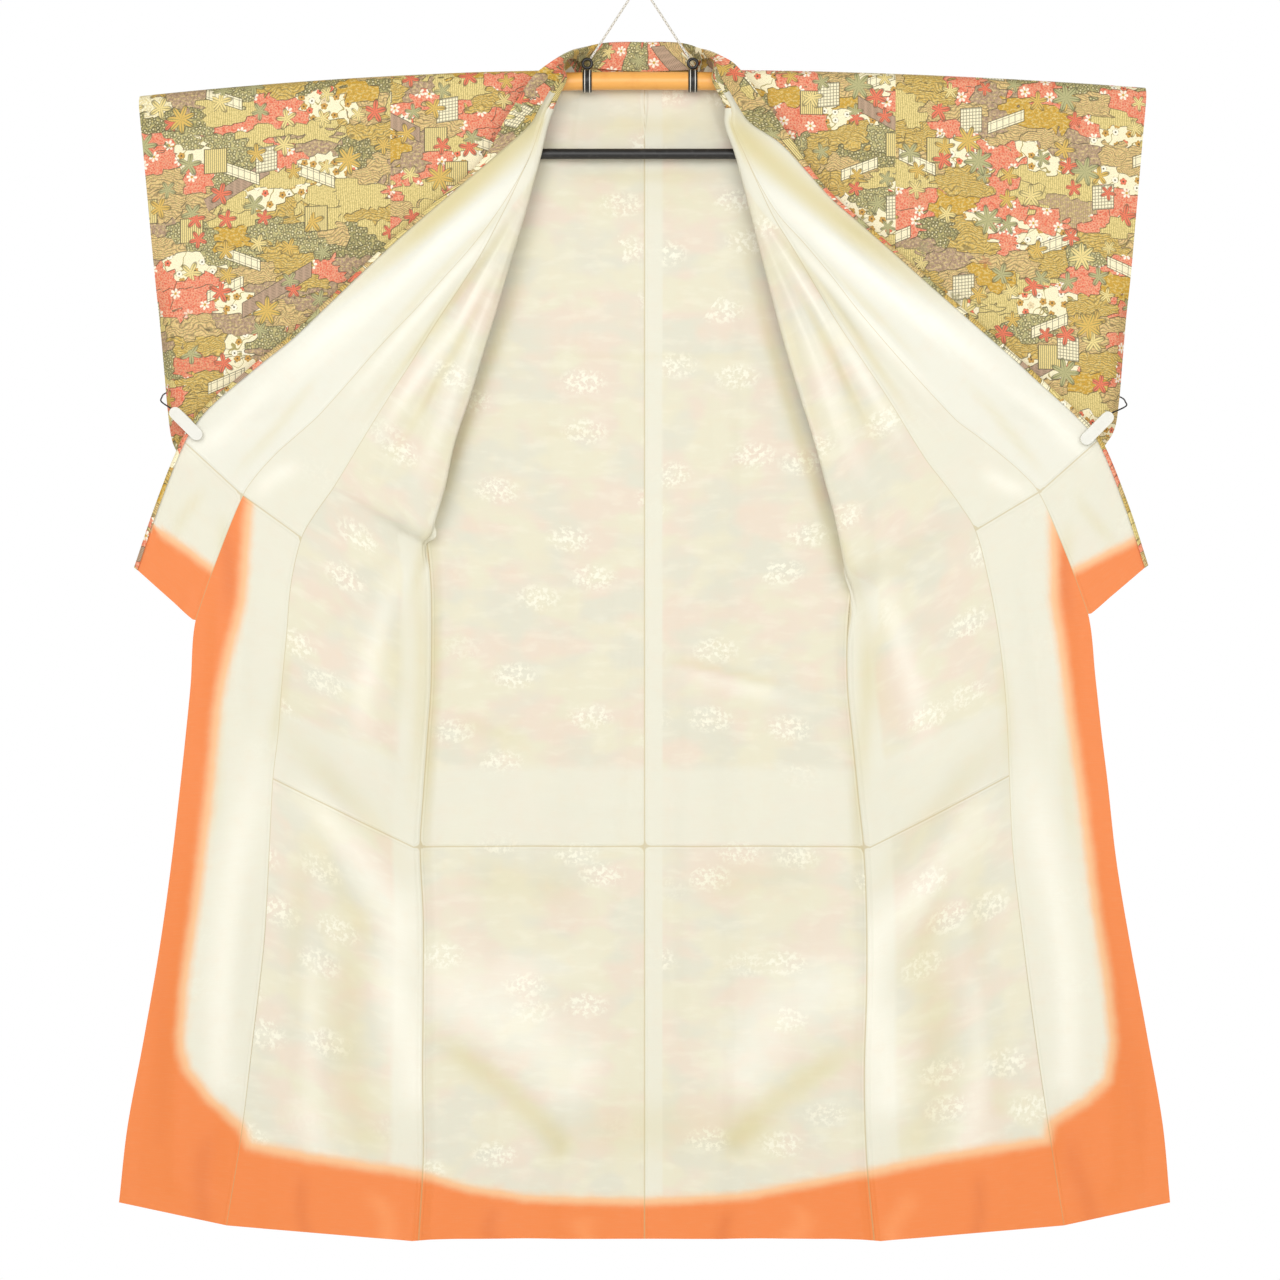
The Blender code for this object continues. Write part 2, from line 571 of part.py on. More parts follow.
def sleeve_point(side, row, column, face):
    """A point of the sleeve's front (face -1) or back (face 1) at fractions down the sleeve and in from the cuff."""
    sleeve = side["sleeve"]
    edge = mix(sleeve["top_out"], sleeve["bottom_out"], row)
    edge -= SLEEVE_CORNER * smooth((row - 0.93) / 0.07)
    out = mix(edge, side["side_top"], column)
    drop = mix(sag(side, out), sleeve["bottom_drop"], row)
    bottom = min((sleeve["bottom_drop"] - drop) / SLEEVE_BOTTOM_TAPER, 1.0)
    shut = smooth((drop - CUFF_OPENING) / 5.0)
    cuff = mix(0.85, min((edge - out) / SLEEVE_EDGE_TAPER, 1.0), shut)
    cuff = mix(cuff, 1.0, smooth((edge - out) / SLEEVE_EDGE_TAPER))
    open_half = mix(SEAM_INSET, DRAPE_RADIUS, math.sqrt(max(bottom, 0.0)) * cuff)
    free = smooth(row * 4.0) * smooth((edge - out) / 8.0) * smooth((out - side["side_top"]) / 8.0)
    ripple = fold_height(SLEEVE_FOLDS, side["sign"] * out, drop) * free * bottom
    return out, drop, face * open_half - ripple


def sleeve_grid(side):
    """From the back's bottom over the rod to the front's bottom, each row from the cuff to the seam."""
    rows = [[sleeve_point(side, row, column, 1) for column in SLEEVE_COLUMNS] for row in reversed(SLEEVE_ROWS)]
    for angle, _ in SHOULDER_ROWS:
        turned = math.radians(angle)
        outs = [mix(side["sleeve"]["top_out"], side["side_top"], column) for column in SLEEVE_COLUMNS]
        rows.append([(o, sag(side, o) - DRAPE_RADIUS * math.sin(turned), DRAPE_RADIUS * math.cos(turned))
                     for o in outs])
    rows += [[sleeve_point(side, row, column, -1) for column in SLEEVE_COLUMNS] for row in SLEEVE_ROWS]
    return [[place(side, point) for point in row] for row in rows]


# Cloth walls from grids

def cells_round(cells, i, j):
    """Sum of the directions to the cells that meet at a grid point, as (down, across)."""
    down = across = 0
    for di in (-1, 0):
        for dj in (-1, 0):
            if (i + di, j + dj) in cells:
                down += 2 * di + 1
                across += 2 * dj + 1
    return down, across


def difference(points, i, j, di, dj):
    """Central difference of the grid along its rows or columns, one-sided at its edges."""
    def at(a, b):
        inside = 0 <= a < len(points) and 0 <= b < len(points[0])
        return points[a][b] if inside and points[a][b] else points[i][j]
    return at(i + di, j + dj) - at(i - di, j - dj)


def sheet_normals(points, sign):
    """Unit normals on the side of the outer cloth."""
    normals = []
    for i, row in enumerate(points):
        normals.append([])
        for j, point in enumerate(row):
            across = difference(points, i, j, 0, 1) if point else None
            down = difference(points, i, j, 1, 0) if point else None
            normals[-1].append(point and (across.cross(down) * sign).normalized())
    return normals


def all_cells(points, keep=None):
    """Grid cells whose four corners exist, and that the rule keeps."""
    cells = set()
    for i in range(len(points) - 1):
        for j in range(len(points[0]) - 1):
            corners = (points[i][j], points[i][j + 1], points[i + 1][j], points[i + 1][j + 1])
            if all(corners) and (keep is None or keep(i, j)):
                cells.add((i, j))
    return cells


def cloth(name, material, points, sign, wall, shift=0.0, keep=None, inset=SEAM_INSET):
    """A wall of cloth on the grid: outwards if wall is positive, inwards if negative, after a shift."""
    cells = all_cells(points, keep)
    normals = sheet_normals(points, sign)
    mesh = bmesh.new()
    made = {}
    for i, j in sorted({(i + di, j + dj) for i, j in cells for di in (0, 1) for dj in (0, 1)}):
        point = points[i][j].copy()
        down, across = cells_round(cells, i, j)
        for step, di, dj in ((down, 1, 0), (across, 0, 1)):
            if step:
                turn = 1 if step > 0 else -1
                towards = points[i + di * turn][j + dj * turn] - points[i][j]
                point += towards.normalized() * inset * CM
        made[i, j] = mesh.verts.new(point + normals[i][j] * shift * CM)
    for i, j in sorted(cells):
        first = [made[i, j], made[i, j + 1], made[i + 1, j + 1]]
        second = [made[i, j], made[i + 1, j + 1], made[i + 1, j]]
        for corners in (first, second):
            mesh.faces.new(corners if sign > 0 else corners[::-1])
    part = object_from_bmesh(name, mesh, material)
    solidify = part.modifiers.new("wall", "SOLIDIFY")
    solidify.thickness = abs(wall) * CM
    solidify.offset = 1.0 if wall > 0 else -1.0
    return part


# Objects

def material(name):
    colour, roughness, metallic = MATERIALS[name]
    made = bpy.data.materials.get(name)
    if made is None:
        made = bpy.data.materials.new(name)
        made.use_nodes = True
        shader = made.node_tree.nodes["Principled BSDF"]
        shader.inputs["Base Color"].default_value = (*colour, 1.0)
        shader.inputs["Roughness"].default_value = roughness
        shader.inputs["Metallic"].default_value = metallic
    return made


def link(part, material_name):
    part.data.materials.clear()
    part.data.materials.append(material(material_name))
    for collection in part.users_collection:
        collection.objects.unlink(part)
    KIMONO.objects.link(part)
    return part


def object_from_bmesh(name, mesh, material_name):
    data = bpy.data.meshes.new(name)
    mesh.to_mesh(data)
    mesh.free()
    data.shade_smooth()
    part = bpy.data.objects.new(name, data)
    KIMONO.objects.link(part)
    data.materials.append(material(material_name))
    return part


def tube(name, material_name, points, radius, sides=4):
    """A wire or rod through the points, which are in centimetres in the model's frame."""
    curve = bpy.data.curves.new(name, "CURVE")
    curve.dimensions = "3D"
    curve.bevel_depth = radius * CM
    curve.bevel_resolution = sides
    curve.use_fill_caps = True
    spline = curve.splines.new("POLY")
    spline.points.add(len(points) - 1)
    for target, point in zip(spline.points, points):
        target.co = (*(Vector(point) * CM), 1.0)
    part = bpy.data.objects.new(name, curve)
    KIMONO.objects.link(part)
    curve.materials.append(material(material_name))
    return part


def smooth_route(points, steps):
    """Points on a smooth curve through the route's own points."""
    table = [(k, *point) for k, point in enumerate(points)]
    count = (len(points) - 1) * steps
    return [read(table, k / steps) for k in range(count + 1)]


def turned_ring(name, material_name, inner, outer, width, steps=24):
    """A ring about the X axis, from a rectangle turned by a Screw modifier."""
    mesh = bmesh.new()
    half = 0.5 * width
    corners = [(outer, half), (outer, -half), (inner, -half), (inner, half)]
    verts = [mesh.verts.new(Vector((radius, 0.0, z)) * CM) for radius, z in corners]
    for k in range(4):
        mesh.edges.new((verts[k], verts[(k + 1) % 4]))
    part = object_from_bmesh(name, mesh, material_name)
    screw = part.modifiers.new("turn", "SCREW")
    screw.steps = steps
    screw.render_steps = steps
    screw.use_merge_vertices = True
    screw.merge_threshold = 0.00001
    part.rotation_euler = (0.0, math.radians(90.0), 0.0)
    return part


def torus(name, material_name, radius, wire):
    bpy.ops.mesh.primitive_torus_add(major_radius=radius * CM, minor_radius=wire * CM,
                                     major_segments=20, minor_segments=8)
    part = bpy.context.object
    part.name = name
    part.data.name = name
    part.data.shade_smooth()
    return link(part, material_name)


def at(part, x, y, z):
    part.location = Vector((x, y, z)) * CM
    return part


# The kimono's pieces

def build_body(side):
    sign, name = side["sign"], side["name"]
    grid = body_grid(side)
    waist = BACK_ROWS[::-1].index(LINING_SEAM_DROP)
    over_rod = len(BACK_ROWS) + 1
    first_front = len(BACK_ROWS) + len(SHOULDER_ROWS)
    behind_rod = len(BACK_ROWS) - 1 - BACK_ROWS.index(SHOULDER_BACK_DROP)
    below_rod = first_front + FRONT_ROWS.index(SHOULDER_FRONT_DROP)
    neck_row = first_front + FRONT_ROWS.index(4.0)
    flat_row = first_front + FRONT_ROWS.index(side["flat_from"])
    front_waist = first_front + FRONT_ROWS.index(LINING_SEAM_DROP)
    inside = {"sign": sign, "wall": -LINING_WALL, "shift": -LAYER_GAP}
    # One length of cloth over the rod, in four nodes so that the hollow between them stays open to collision
    stretches = {"back": (0, behind_rod), "shoulder": (behind_rod, below_rod), "front": (below_rod, flat_row),
                 "skirt": (flat_row, len(grid))}
    for stretch, (first, last) in stretches.items():
        cloth(f"body_{stretch}_{name}", "komon_silk", grid, sign, OUTER_WALL,
              keep=lambda i, j, first=first, last=last: first <= i < last)
    cloth(f"hakkake_back_{name}", "shaded_lining", grid, keep=lambda i, j: i < waist, **inside)
    cloth(f"lining_back_{name}", "cream_lining", grid, keep=lambda i, j: waist <= i < over_rod, **inside)
    cloth(f"lining_front_{name}", "cream_lining", grid,
          keep=lambda i, j: neck_row <= i < front_waist and (j >= 4 or i >= flat_row), **inside)
    cloth(f"hakkake_front_{name}", "shaded_lining", grid, keep=lambda i, j: i >= front_waist, **inside)


def build_overlap(side):
    sign, name = side["sign"], side["name"]
    grid = overlap_grid(side)
    seam = overlap_rows().index(OVERLAP_LINING_SEAM_DROP)
    inside = {"sign": sign, "wall": -LINING_WALL, "shift": -LAYER_GAP}
    cloth(f"okumi_{name}", "komon_silk", grid, sign, OUTER_WALL)
    cloth(f"okumi_lining_{name}", "cream_lining", grid, keep=lambda i, j: i < seam, **inside)
    cloth(f"hakkake_okumi_{name}", "shaded_lining", grid, keep=lambda i, j: i >= seam, **inside)


def build_collar():
    """Two collar lengths with the over-collar between them, and their linings, on one grid from end to end."""
    grid = collar_grid(LEFT)[::-1] + collar_grid(RIGHT)[1:]
    centre = len(grid) // 2
    neck_stations = 3 + len(SHOULDER_ROWS)
    over_end, lining_start, end_start = (neck_stations + FRONT_ROWS.index(drop) for drop in
                                         (OVER_COLLAR_END_DROP, COLLAR_LINING_START, OVERLAP_LINING_SEAM_DROP))

    def reach(i):
        return centre - 1 - i if i < centre else i - centre

    inside = {"sign": 1, "wall": -LINING_WALL, "shift": -LAYER_GAP}
    cloth("over_collar", "komon_silk", grid, 1, OUTER_WALL, keep=lambda i, j: reach(i) < over_end,
          inset=NECK_SEAM_INSET)
    for name, here in (("left", lambda i: i < centre), ("right", lambda i: i >= centre)):
        cloth(f"collar_{name}", "komon_silk", grid, 1, OUTER_WALL,
              keep=lambda i, j: here(i) and reach(i) >= over_end)
        cloth(f"collar_lining_{name}", "cream_lining", grid,
              keep=lambda i, j: here(i) and lining_start <= reach(i) < end_start and j < 4, **inside)
        cloth(f"collar_end_lining_{name}", "shaded_lining", grid,
              keep=lambda i, j: here(i) and reach(i) >= end_start and j < 4, **inside)


def build_sleeve(side):
    cloth(f"sleeve_{side['name']}", "komon_silk", sleeve_grid(side), side["sign"], OUTER_WALL)


# What holds the kimono

def rod_side(x):
    return LEFT if x < CENTRE_X else RIGHT


def rod_drop(x):
    return sag(rod_side(x), abs(x - CENTRE_X))


def build_rods():
    steps = 18
    xs = [mix(-ROD_HALF_LENGTH, ROD_HALF_LENGTH, k / steps) for k in range(steps + 1)]
    tube("rod", "rod_tan", [(x, 0.0, -ROD_DROP - rod_drop(x)) for x in xs], ROD_RADIUS)
    lower_z = -ROD_DROP - LOWER_ROD_DROP
    end = ROD_HALF_LENGTH + ROD_END_TILT
    tube("lower_rod", "black_plastic", [(x, 0.0, lower_z) for x in (-end, 0.0, end)], LOWER_ROD_RADIUS)
    for name, sign in (("left", -1), ("right", 1)):
        x = sign * (end + LAYER_GAP + 0.5 * END_BAR_THICKNESS)
        end_bar(f"end_bar_{name}", x, -ROD_DROP - rod_drop(sign * ROD_HALF_LENGTH), lower_z)


def flat_bar(name, material_name, width, span, thickness):
    """A flat bar with round ends along its own Y axis, its end circles' centres a span apart."""
    curve = bpy.data.curves.new(name, "CURVE")
    curve.dimensions = "2D"
    curve.fill_mode = "BOTH"
    curve.extrude = 0.5 * thickness * CM
    radius = 0.5 * width
    arc = [math.radians(a) for a in range(0, 181, 30)]
    half = [(radius * math.cos(a), radius * math.sin(a) + 0.5 * span) for a in arc]
    outline = half + [(-u, -v) for u, v in half]
    spline = curve.splines.new("POLY")
    spline.points.add(len(outline) - 1)
    for target, (u, v) in zip(spline.points, outline):
        target.co = (u * CM, v * CM, 0.0, 1.0)
    spline.use_cyclic_u = True
    part = bpy.data.objects.new(name, curve)
    KIMONO.objects.link(part)
    curve.materials.append(material(material_name))
    return part


def end_bar(name, x, top, bottom):
    part = flat_bar(name, "black_plastic", END_BAR_WIDTH, top - bottom, END_BAR_THICKNESS)
    part.rotation_euler = (math.radians(90.0), 0.0, math.radians(90.0))
    return at(part, x, 0.0, 0.5 * (top + bottom))


def build_hanging():
    """Rings and hooks on the rod, and the cords up to the ring that a wall hook holds."""
    top = Vector((0.0, 0.0, HANG_RING_WIRE - HANG_RING_RADIUS))
    ring = at(torus("hang_ring", "black_plastic", HANG_RING_RADIUS, HANG_RING_WIRE), *top)
    ring.rotation_euler = (math.radians(90.0), 0.0, 0.0)
    for name, sign in (("left", -1), ("right", 1)):
        x = sign * RING_OUT
        z = -ROD_DROP - rod_drop(x)
        at(turned_ring(f"rod_ring_{name}", "black_plastic", ROD_RADIUS + LAYER_GAP, RING_RADIUS, RING_WIDTH),
           x, 0.0, z)
        loop = Vector((x, 0.0, z + RING_RADIUS + LAYER_GAP + HOOK_RADIUS + HOOK_WIRE))
        hook = at(torus(f"rod_hook_{name}", "black_plastic", HOOK_RADIUS, HOOK_WIRE), *loop)
        hook.rotation_euler = (math.radians(90.0), 0.0, 0.0)
        along = (top - loop).normalized()
        start = loop + along * (HOOK_RADIUS + HOOK_WIRE + LAYER_GAP)
        end = top - along * (HANG_RING_RADIUS + HANG_RING_WIRE + LAYER_GAP)
        tube(f"sling_cord_{name}", "white_cord", [tuple(start), tuple(end)], CORD_RADIUS, 2)


def as_mesh(part):
    """The curve object made a mesh, so that it can be cut."""
    name = part.name
    bpy.context.view_layer.update()
    data = bpy.data.meshes.new_from_object(part.evaluated_get(bpy.context.evaluated_depsgraph_get()))
    welded = bmesh.new()
    welded.from_mesh(data)
    bmesh.ops.remove_doubles(welded, verts=welded.verts, dist=0.00001)
    bmesh.ops.recalc_face_normals(welded, faces=welded.faces)
    welded.to_mesh(data)
    welded.free()
    made = bpy.data.objects.new(name, data)
    made.matrix_world = part.matrix_world
    KIMONO.objects.link(made)
    bpy.data.objects.remove(part, do_unlink=True)
    made.name = name
    return made


def slot_cutter(name, size, y):
    """A box cutter in a clip's own frame."""
    bpy.ops.mesh.primitive_cube_add(size=1.0)
    cutter = bpy.context.object
    cutter.name = name
    cutter.scale = Vector(size) * CM
    bpy.ops.object.transform_apply(location=False, rotation=False, scale=True)
    cutter.location = (0.0, y * CM, 0.0)
    cutter.hide_render = True
    cutter.display_type = "WIRE"
    for collection in cutter.users_collection:
        collection.objects.unlink(cutter)
    CUTTERS.objects.link(cutter)
    return cutter


def build_clip(side):
    """A round-ended clip on the collar's free edge, and its elastic round the sleeve's edge to a knot."""
    name = side["name"]
    outer, inner = (place(side, (out, drop, CLIP_Y)) for out, drop in CLIP_AXIS[name])
    span = (outer - inner).length / CM
    clip = as_mesh(flat_bar(f"clip_{name}", "white_plastic", CLIP_WIDTH, span, CLIP_THICKNESS))
    slot_length = 2.0 * span
    slot_end = 0.5 * span + 0.5 * CLIP_WIDTH - CLIP_BOSS
    slot = slot_cutter(f"clip_slot_{name}", (2.0 * CLIP_WIDTH, slot_length, CLIP_SLOT),
                       slot_end - 0.5 * slot_length)
    slot.parent = clip
    reach = outer - inner
    clip.location = (outer + inner) * 0.5
    clip.rotation_euler = (math.radians(90.0), math.atan2(reach.x, reach.z), 0.0)
    cut = clip.modifiers.new("slot", "BOOLEAN")
    cut.operation = "DIFFERENCE"
    cut.object = slot
    build_elastic(side, outer, outer + reach.normalized() * (0.5 * CLIP_WIDTH + LAYER_GAP + ELASTIC_RADIUS) * CM)


def build_elastic(side, outer, tip):
    name, sign, sleeve = side["name"], side["sign"], side["sleeve"]
    start, end = outer / CM, tip / CM
    edge = CENTRE_X + sign * mix(sleeve["top_out"], sleeve["bottom_out"], CLIP_ROW)
    route = [tuple(end)] + [(edge + sign * out, y, start.z - drop) for out, drop, y in ELASTIC_ROUTE]
    tube(f"elastic_{name}", "black_elastic", smooth_route(route, 4), ELASTIC_RADIUS, 2)
    last, before = Vector(route[-1]), Vector(route[-2])
    centre = last + (last - before).normalized() * (KNOT_RADIUS + LAYER_GAP)
    bpy.ops.mesh.primitive_ico_sphere_add(subdivisions=2, radius=KNOT_RADIUS * CM)
    knot = bpy.context.object
    knot.name = f"elastic_knot_{name}"
    knot.location = centre * CM
    link(knot, "black_elastic")


def main():
    for side in SIDES:
        build_body(side)
        build_overlap(side)
        build_sleeve(side)
    build_collar()
    build_rods()
    build_hanging()
    for side in SIDES:
        build_clip(side)


for old in list(bpy.data.objects):
    bpy.data.objects.remove(old, do_unlink=True)
KIMONO = bpy.data.collections.new("komon_kimono")
CUTTERS = bpy.data.collections.new("cutters")
bpy.context.scene.collection.children.link(KIMONO)
bpy.context.scene.collection.children.link(CUTTERS)
main()
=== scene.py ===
"""Komon kimono on its rod: cloth, print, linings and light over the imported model.

Lengths in the tables are in centimetres, and everything that is made is in metres in the part's own
frame. "Out" is the distance from the kimono's centre line towards one side, "drop" the distance below
the middle of the rod, and y grows away from the viewer.
"""
import math

import bmesh
import bpy
import numpy as np
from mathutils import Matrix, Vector


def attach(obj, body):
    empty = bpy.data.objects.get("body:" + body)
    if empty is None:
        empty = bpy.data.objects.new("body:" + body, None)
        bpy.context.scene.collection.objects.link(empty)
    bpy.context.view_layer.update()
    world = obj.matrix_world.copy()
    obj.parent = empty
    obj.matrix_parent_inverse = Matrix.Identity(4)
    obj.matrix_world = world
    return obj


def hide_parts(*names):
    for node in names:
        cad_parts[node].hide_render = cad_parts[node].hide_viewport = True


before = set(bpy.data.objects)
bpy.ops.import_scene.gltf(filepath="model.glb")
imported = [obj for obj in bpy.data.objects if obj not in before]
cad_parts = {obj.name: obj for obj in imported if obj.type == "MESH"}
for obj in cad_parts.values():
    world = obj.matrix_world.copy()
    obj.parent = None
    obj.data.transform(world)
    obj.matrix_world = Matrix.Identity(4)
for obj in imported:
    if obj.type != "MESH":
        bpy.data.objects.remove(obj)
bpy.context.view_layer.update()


# Camera and light
CAMERA_DISTANCE = 400.0
CAMERA_X = 0.0
CAMERA_Z = -88.04
FRAME_WIDTH = 169.1
# The frame's width is measured on a plane this far in front of the rod
FRAME_PLANE = 2.0
SENSOR_MM = 36.0
WORLD_LIGHT = 0.47
WORLD_TINT = (1.0, 0.96, 0.84, 1.0)
PURE_WHITE = (1.0, 1.0, 1.0, 1.0)
FLOOR_RADIUS_M = 2.6
FLOOR_Z_M = -2.3
# Area lights: name, place, aim and size in metres, power in watts
LIGHTS = [
    ("key", (-1.5, -3.8, 0.8), (0.0, 0.0, -0.8), 2.2, 54.0),
    ("fill", (1.6, -3.8, 0.1), (0.0, 0.0, -0.9), 2.6, 38.0),
    ("front", (0.0, -4.3, -0.7), (0.0, 0.0, -0.8), 3.2, 46.0),
    ("back", (0.5, 3.4, 1.0), (0.0, 0.0, -0.8), 2.6, 80.0),
]

CM = 0.01

# What holds the kimono
ROD_DROP = 13.8
ROD_RADIUS = 1.2
ROD_HALF_LENGTH = 63.5
ROD_STEPS = 96
ROD_END_TILT = 0.12
LOWER_ROD_RADIUS = 0.7
LOWER_ROD_DROP = 9.7
RING_OUT = 7.0
RING_RADIUS = 1.5
RING_WIDTH = 1.2
RING_BEVEL = 0.1
# The groove round a ring: half its width at the mouth and at the floor, and its depth
RING_GROOVE = (0.14, 0.10, 0.04)
# The white lines on a ring: distance from its middle, half width, how deep they sit and how proud
STRIPE_OUT = 0.32
STRIPE_HALF_WIDTH = 0.05
STRIPE_SUNK = 0.02
STRIPE_PROUD = 0.012
HOOK_RADIUS = 0.6
HOOK_WIRE = 0.2
CORD_RADIUS = 0.15
HANG_RING_RADIUS = 0.9
HANG_RING_WIRE = 0.17
CLIP_WIDTH = 1.6
CLIP_Y = -3.40
CLIP_ROW = 0.84
# Centres of a clip's round ends, (out, drop), the outer end first
CLIP_AXIS = {"left": ((61.7, 44.4), (58.9, 47.2)), "right": ((60.9, 45.0), (58.1, 47.8))}
ELASTIC_RADIUS = 0.1
# The elastic round the sleeve's edge: past the edge (out), drop below the clip's outer end, y
ELASTIC_ROUTE = [(0.45, -1.6, -2.6), (0.6, -2.3, -1.2), (0.6, -2.8, 0.3), (0.2, -3.2, 1.5),
                 (-0.5, -3.5, 2.1)]

# The cloth
CENTRE_X = 0.6
LAYER_GAP = 0.03
SEAM_INSET = 0.017
DRAPE_RADIUS = 1.44
HEM_DEPTH = 0.9
CREASE_RADIUS = 0.55
NECK_CURL_LENGTH = math.pi * CREASE_RADIUS
NECK_STRIP = 0.3
NECK_OUT = 10.6
NECK_STAND_OFF = 0.48
NECK_SPREAD = 0.9
SIDE_SLOPE = 0.4
FLAT_SPACING = 0.12
UPRIGHT_SPACING = 0.28
UPRIGHT_LEAN = 0.05
UNFOLDING = 0.5
COLLAR_TURN_MARGIN = 0.9
SLEEVE_ATTACHED = 23.0
SIDE_SEAM_START = 38.0
LINING_SEAM_DROP = 101.7
COLLAR_FOLD_OFFSET = 0.3
NECK_FOLD_OFFSET = 0.5
COLLAR_FOLD_LENGTH = 0.2
COLLAR_ROOT = 0.4
# The bow of the rod shows in the cloth down to this drop, and folds that end below the other run out
# through the hem
BOW_END_DROP = 60.0
THROUGH_HEM_DROP = 120.0
# Columns of a front's row where its fold starts and ends, and how much of the bow the part past it takes
FOLD_START, FOLD_END = 4, 7
FOLDED_OUT_BOW = 0.3

# How far in from the side edge the panel's first columns lie, and how much of the panel's depth each has
SIDE_COLUMNS = [(0.0, 0.0), (0.7, 0.7), (1.5, 0.95)]

# Angles over the rod, from the back to the front, in degrees, and how far the neck edge curls up at each
SHOULDER_ROWS = [(36.0, 25.0), (72.0, 45.0), (108.0, 70.0), (144.0, 105.0)]

# Drops of the rows of the body panels. Both sides share the rows from the lower parts on
LOWER_ROWS = [61.5, 65, 69, 75, 81, 88, 95, 101.7, 111, 121, 132, 143, 153.9]
BACK_ROWS = [0, 8, 16, 24, 31, 38, 46, 54] + LOWER_ROWS
FRONT_ROWS = [0, 2, 4, 6, 10, 14.5, 19.5, 25, 30.5, 36, 42, 48, 54, 56, 58, 60.5] + LOWER_ROWS
KENSAKI_DROP = 14.5

# How far the neck's edge curls up beside the front. drop, start of the curl (out), curl in degrees
NECK_CURL = [(0.0, 10.9, 140.0), (2.0, 11.7, 160.0), (4.0, 12.6, 174.0), (6.0, 13.3, 180.0)]

# The tables of rows have the drop first, then the left side's own numbers, the right side's own, and
# what both share

# The opened fronts: side edge (out), fold (out), inner seam (out, drop, y)
FRONT = [
    (6, (33.6, 12.75, 13.6, 6.1, -2.47), (33.2, 10.6, 11.5, 6.2, -2.47)),
    (10, (33.6, 13.7, 14.8, 9.7, -2.55), (33.2, 12, 13, 9.8, -2.55)),
    (14.5, (33.6, 14.9, 16.5, 13.5, -2.65), (33.2, 13.2, 14.8, 13.9, -2.65)),
    (19.5, (33.6, 16.3, 18.7, 18.1, -2.75), (33.2, 14.5, 16.9, 18.4, -2.75)),
    (25, (33.4, 18, 21.5, 23.4, -2.8), (33, 15.9, 19.5, 22.6, -2.8)),
    (30.5, (33, 19.6, 24.3, 27.8, -2.8), (32.7, 17.3, 22.4, 27.4, -2.8)),
    (36, (32.4, 21.3, 27.2, 32.2, -2.8), (32.2, 18.8, 25.3, 32.3, -2.8)),
    (42, (31.8, 23.1, 30.5, 37.4, -2.8), (31.6, 20.6, 28.7, 37.5, -2.8)),
    (48, (31.1, 25.1, 33.8, 42.5, -2.8), (31, 22.5, 32, 42.4, -2.8)),
    (54, (30.3, 26.4, 37.1, 47.8, -2.8), (30.2, 24.1, 35.2, 47.6, -2.8)),
    (58, (29.7, 27.6, 39.2, 51.3, -2.75), (29.5, 25.2, 37.4, 51, -2.8)),
    (61.5, (28.9, 28.6, 41.2, 54.5, -2.7), (28.8, 25.9, 39.6, 53.8, -2.75)),
    (65, (28.5, 28.5, 43.6, 57.9, -2.65), (28, 26.6, 41.5, 56.4, -2.7)),
    (69, (28.3, 28.3, 45.2, 60.8, -2.6), (27.3, 27.2, 43.6, 59.8, -2.6)),
    (75, (28.3, 28.3, 46.6, 66.8, -2.45), (26.9, 26.9, 45.3, 66.2, -2.45)),
    (81, (28.4, 28.4, 47.2, 73.6, -2.3), (27, 27, 46.5, 72.4, -2.3)),
    (88, (28.9, 28.9, 47.9, 80.6, -2.15), (27.7, 27.7, 47.4, 79.3, -2.15)),
    (95, (29.4, 29.4, 48.4, 86.6, -2.1), (28.4, 28.4, 47.9, 86, -2.1)),
    (101.7, (29.8, 29.8, 49.1, 92.6, -2), (29.1, 29.1, 48.2, 92.2, -2)),
    (111, (29.4, 29.4, 49.6, 103.4, -1.9), (29.5, 29.5, 48.7, 102.6, -1.9)),
    (121, (29.4, 29.4, 50.2, 114.2, -1.8), (29.5, 29.5, 50, 114.4, -1.8)),
    (132, (29.5, 29.5, 51.6, 126.7, -1.8), (29.2, 29.2, 51.6, 127.2, -1.8)),
    (143, (29.4, 29.4, 53.2, 139.6, -1.8), (29.5, 29.5, 53.5, 139.9, -1.8)),
    (153.9, (30, 30, 55.2, 151.6, -1.8), (30.5, 30.5, 55.4, 151.6, -1.8)),
]

# Outer edge of the overlap panels on the same rows: collar seam or free edge (out, drop), y
OVERLAP = [
    (14.5, (16.62, 13.43), (14.92, 13.83), -2.66),
    (19.5, (19.4, 17.9), (17.6, 18.2), -2.76),
    (25, (22.9, 22.6), (20.9, 21.9), -2.83),
    (30.5, (26.4, 26.5), (24.5, 26.2), -2.87),
    (36, (30.1, 30.6), (28, 30.7), -2.9),
    (42, (34.6, 35.3), (32.4, 35.9), -2.95),
    (48, (38.6, 39.9), (36.6, 40.6), -3),
    (54, (42.8, 44.6), (40.9, 45.2), -3.05),
    (58, (45.9, 47.4), (43.8, 47.4), -3.05),
    (61.5, (48.5, 49.7), (46.6, 49.6), -3),
    (65, (50.9, 52.3), (49.3, 51.9), -2.95),
    (69, (52.9, 55.2), (51.9, 54.8), -2.9),
    (75, (56.2, 63.2), (55.5, 62.8), -2.75),
    (81, (59.2, 71.6), (58.5, 70.8), -2.6),
    (88, (59.9, 80.3), (59.5, 79.3), -2.5),
    (95, (60.6, 87.2), (60.3, 86.5), -2.4),
    (101.7, (61.3, 93.6), (61.1, 92.8), -2.3),
    (111, (62.6, 104.6), (62.3, 103.4), -2.2),
    (121, (64.2, 115.6), (64.2, 114.6), -2.1),
    (132, (66.2, 127.2), (66.3, 126), -2.1),
    (143, (68.3, 138.6), (68.4, 138), -2.1),
    (153.9, (69.4, 148.5), (69.4, 148.5), -2.1),
]
OVERLAP_LINING_SEAM_DROP = 69.0
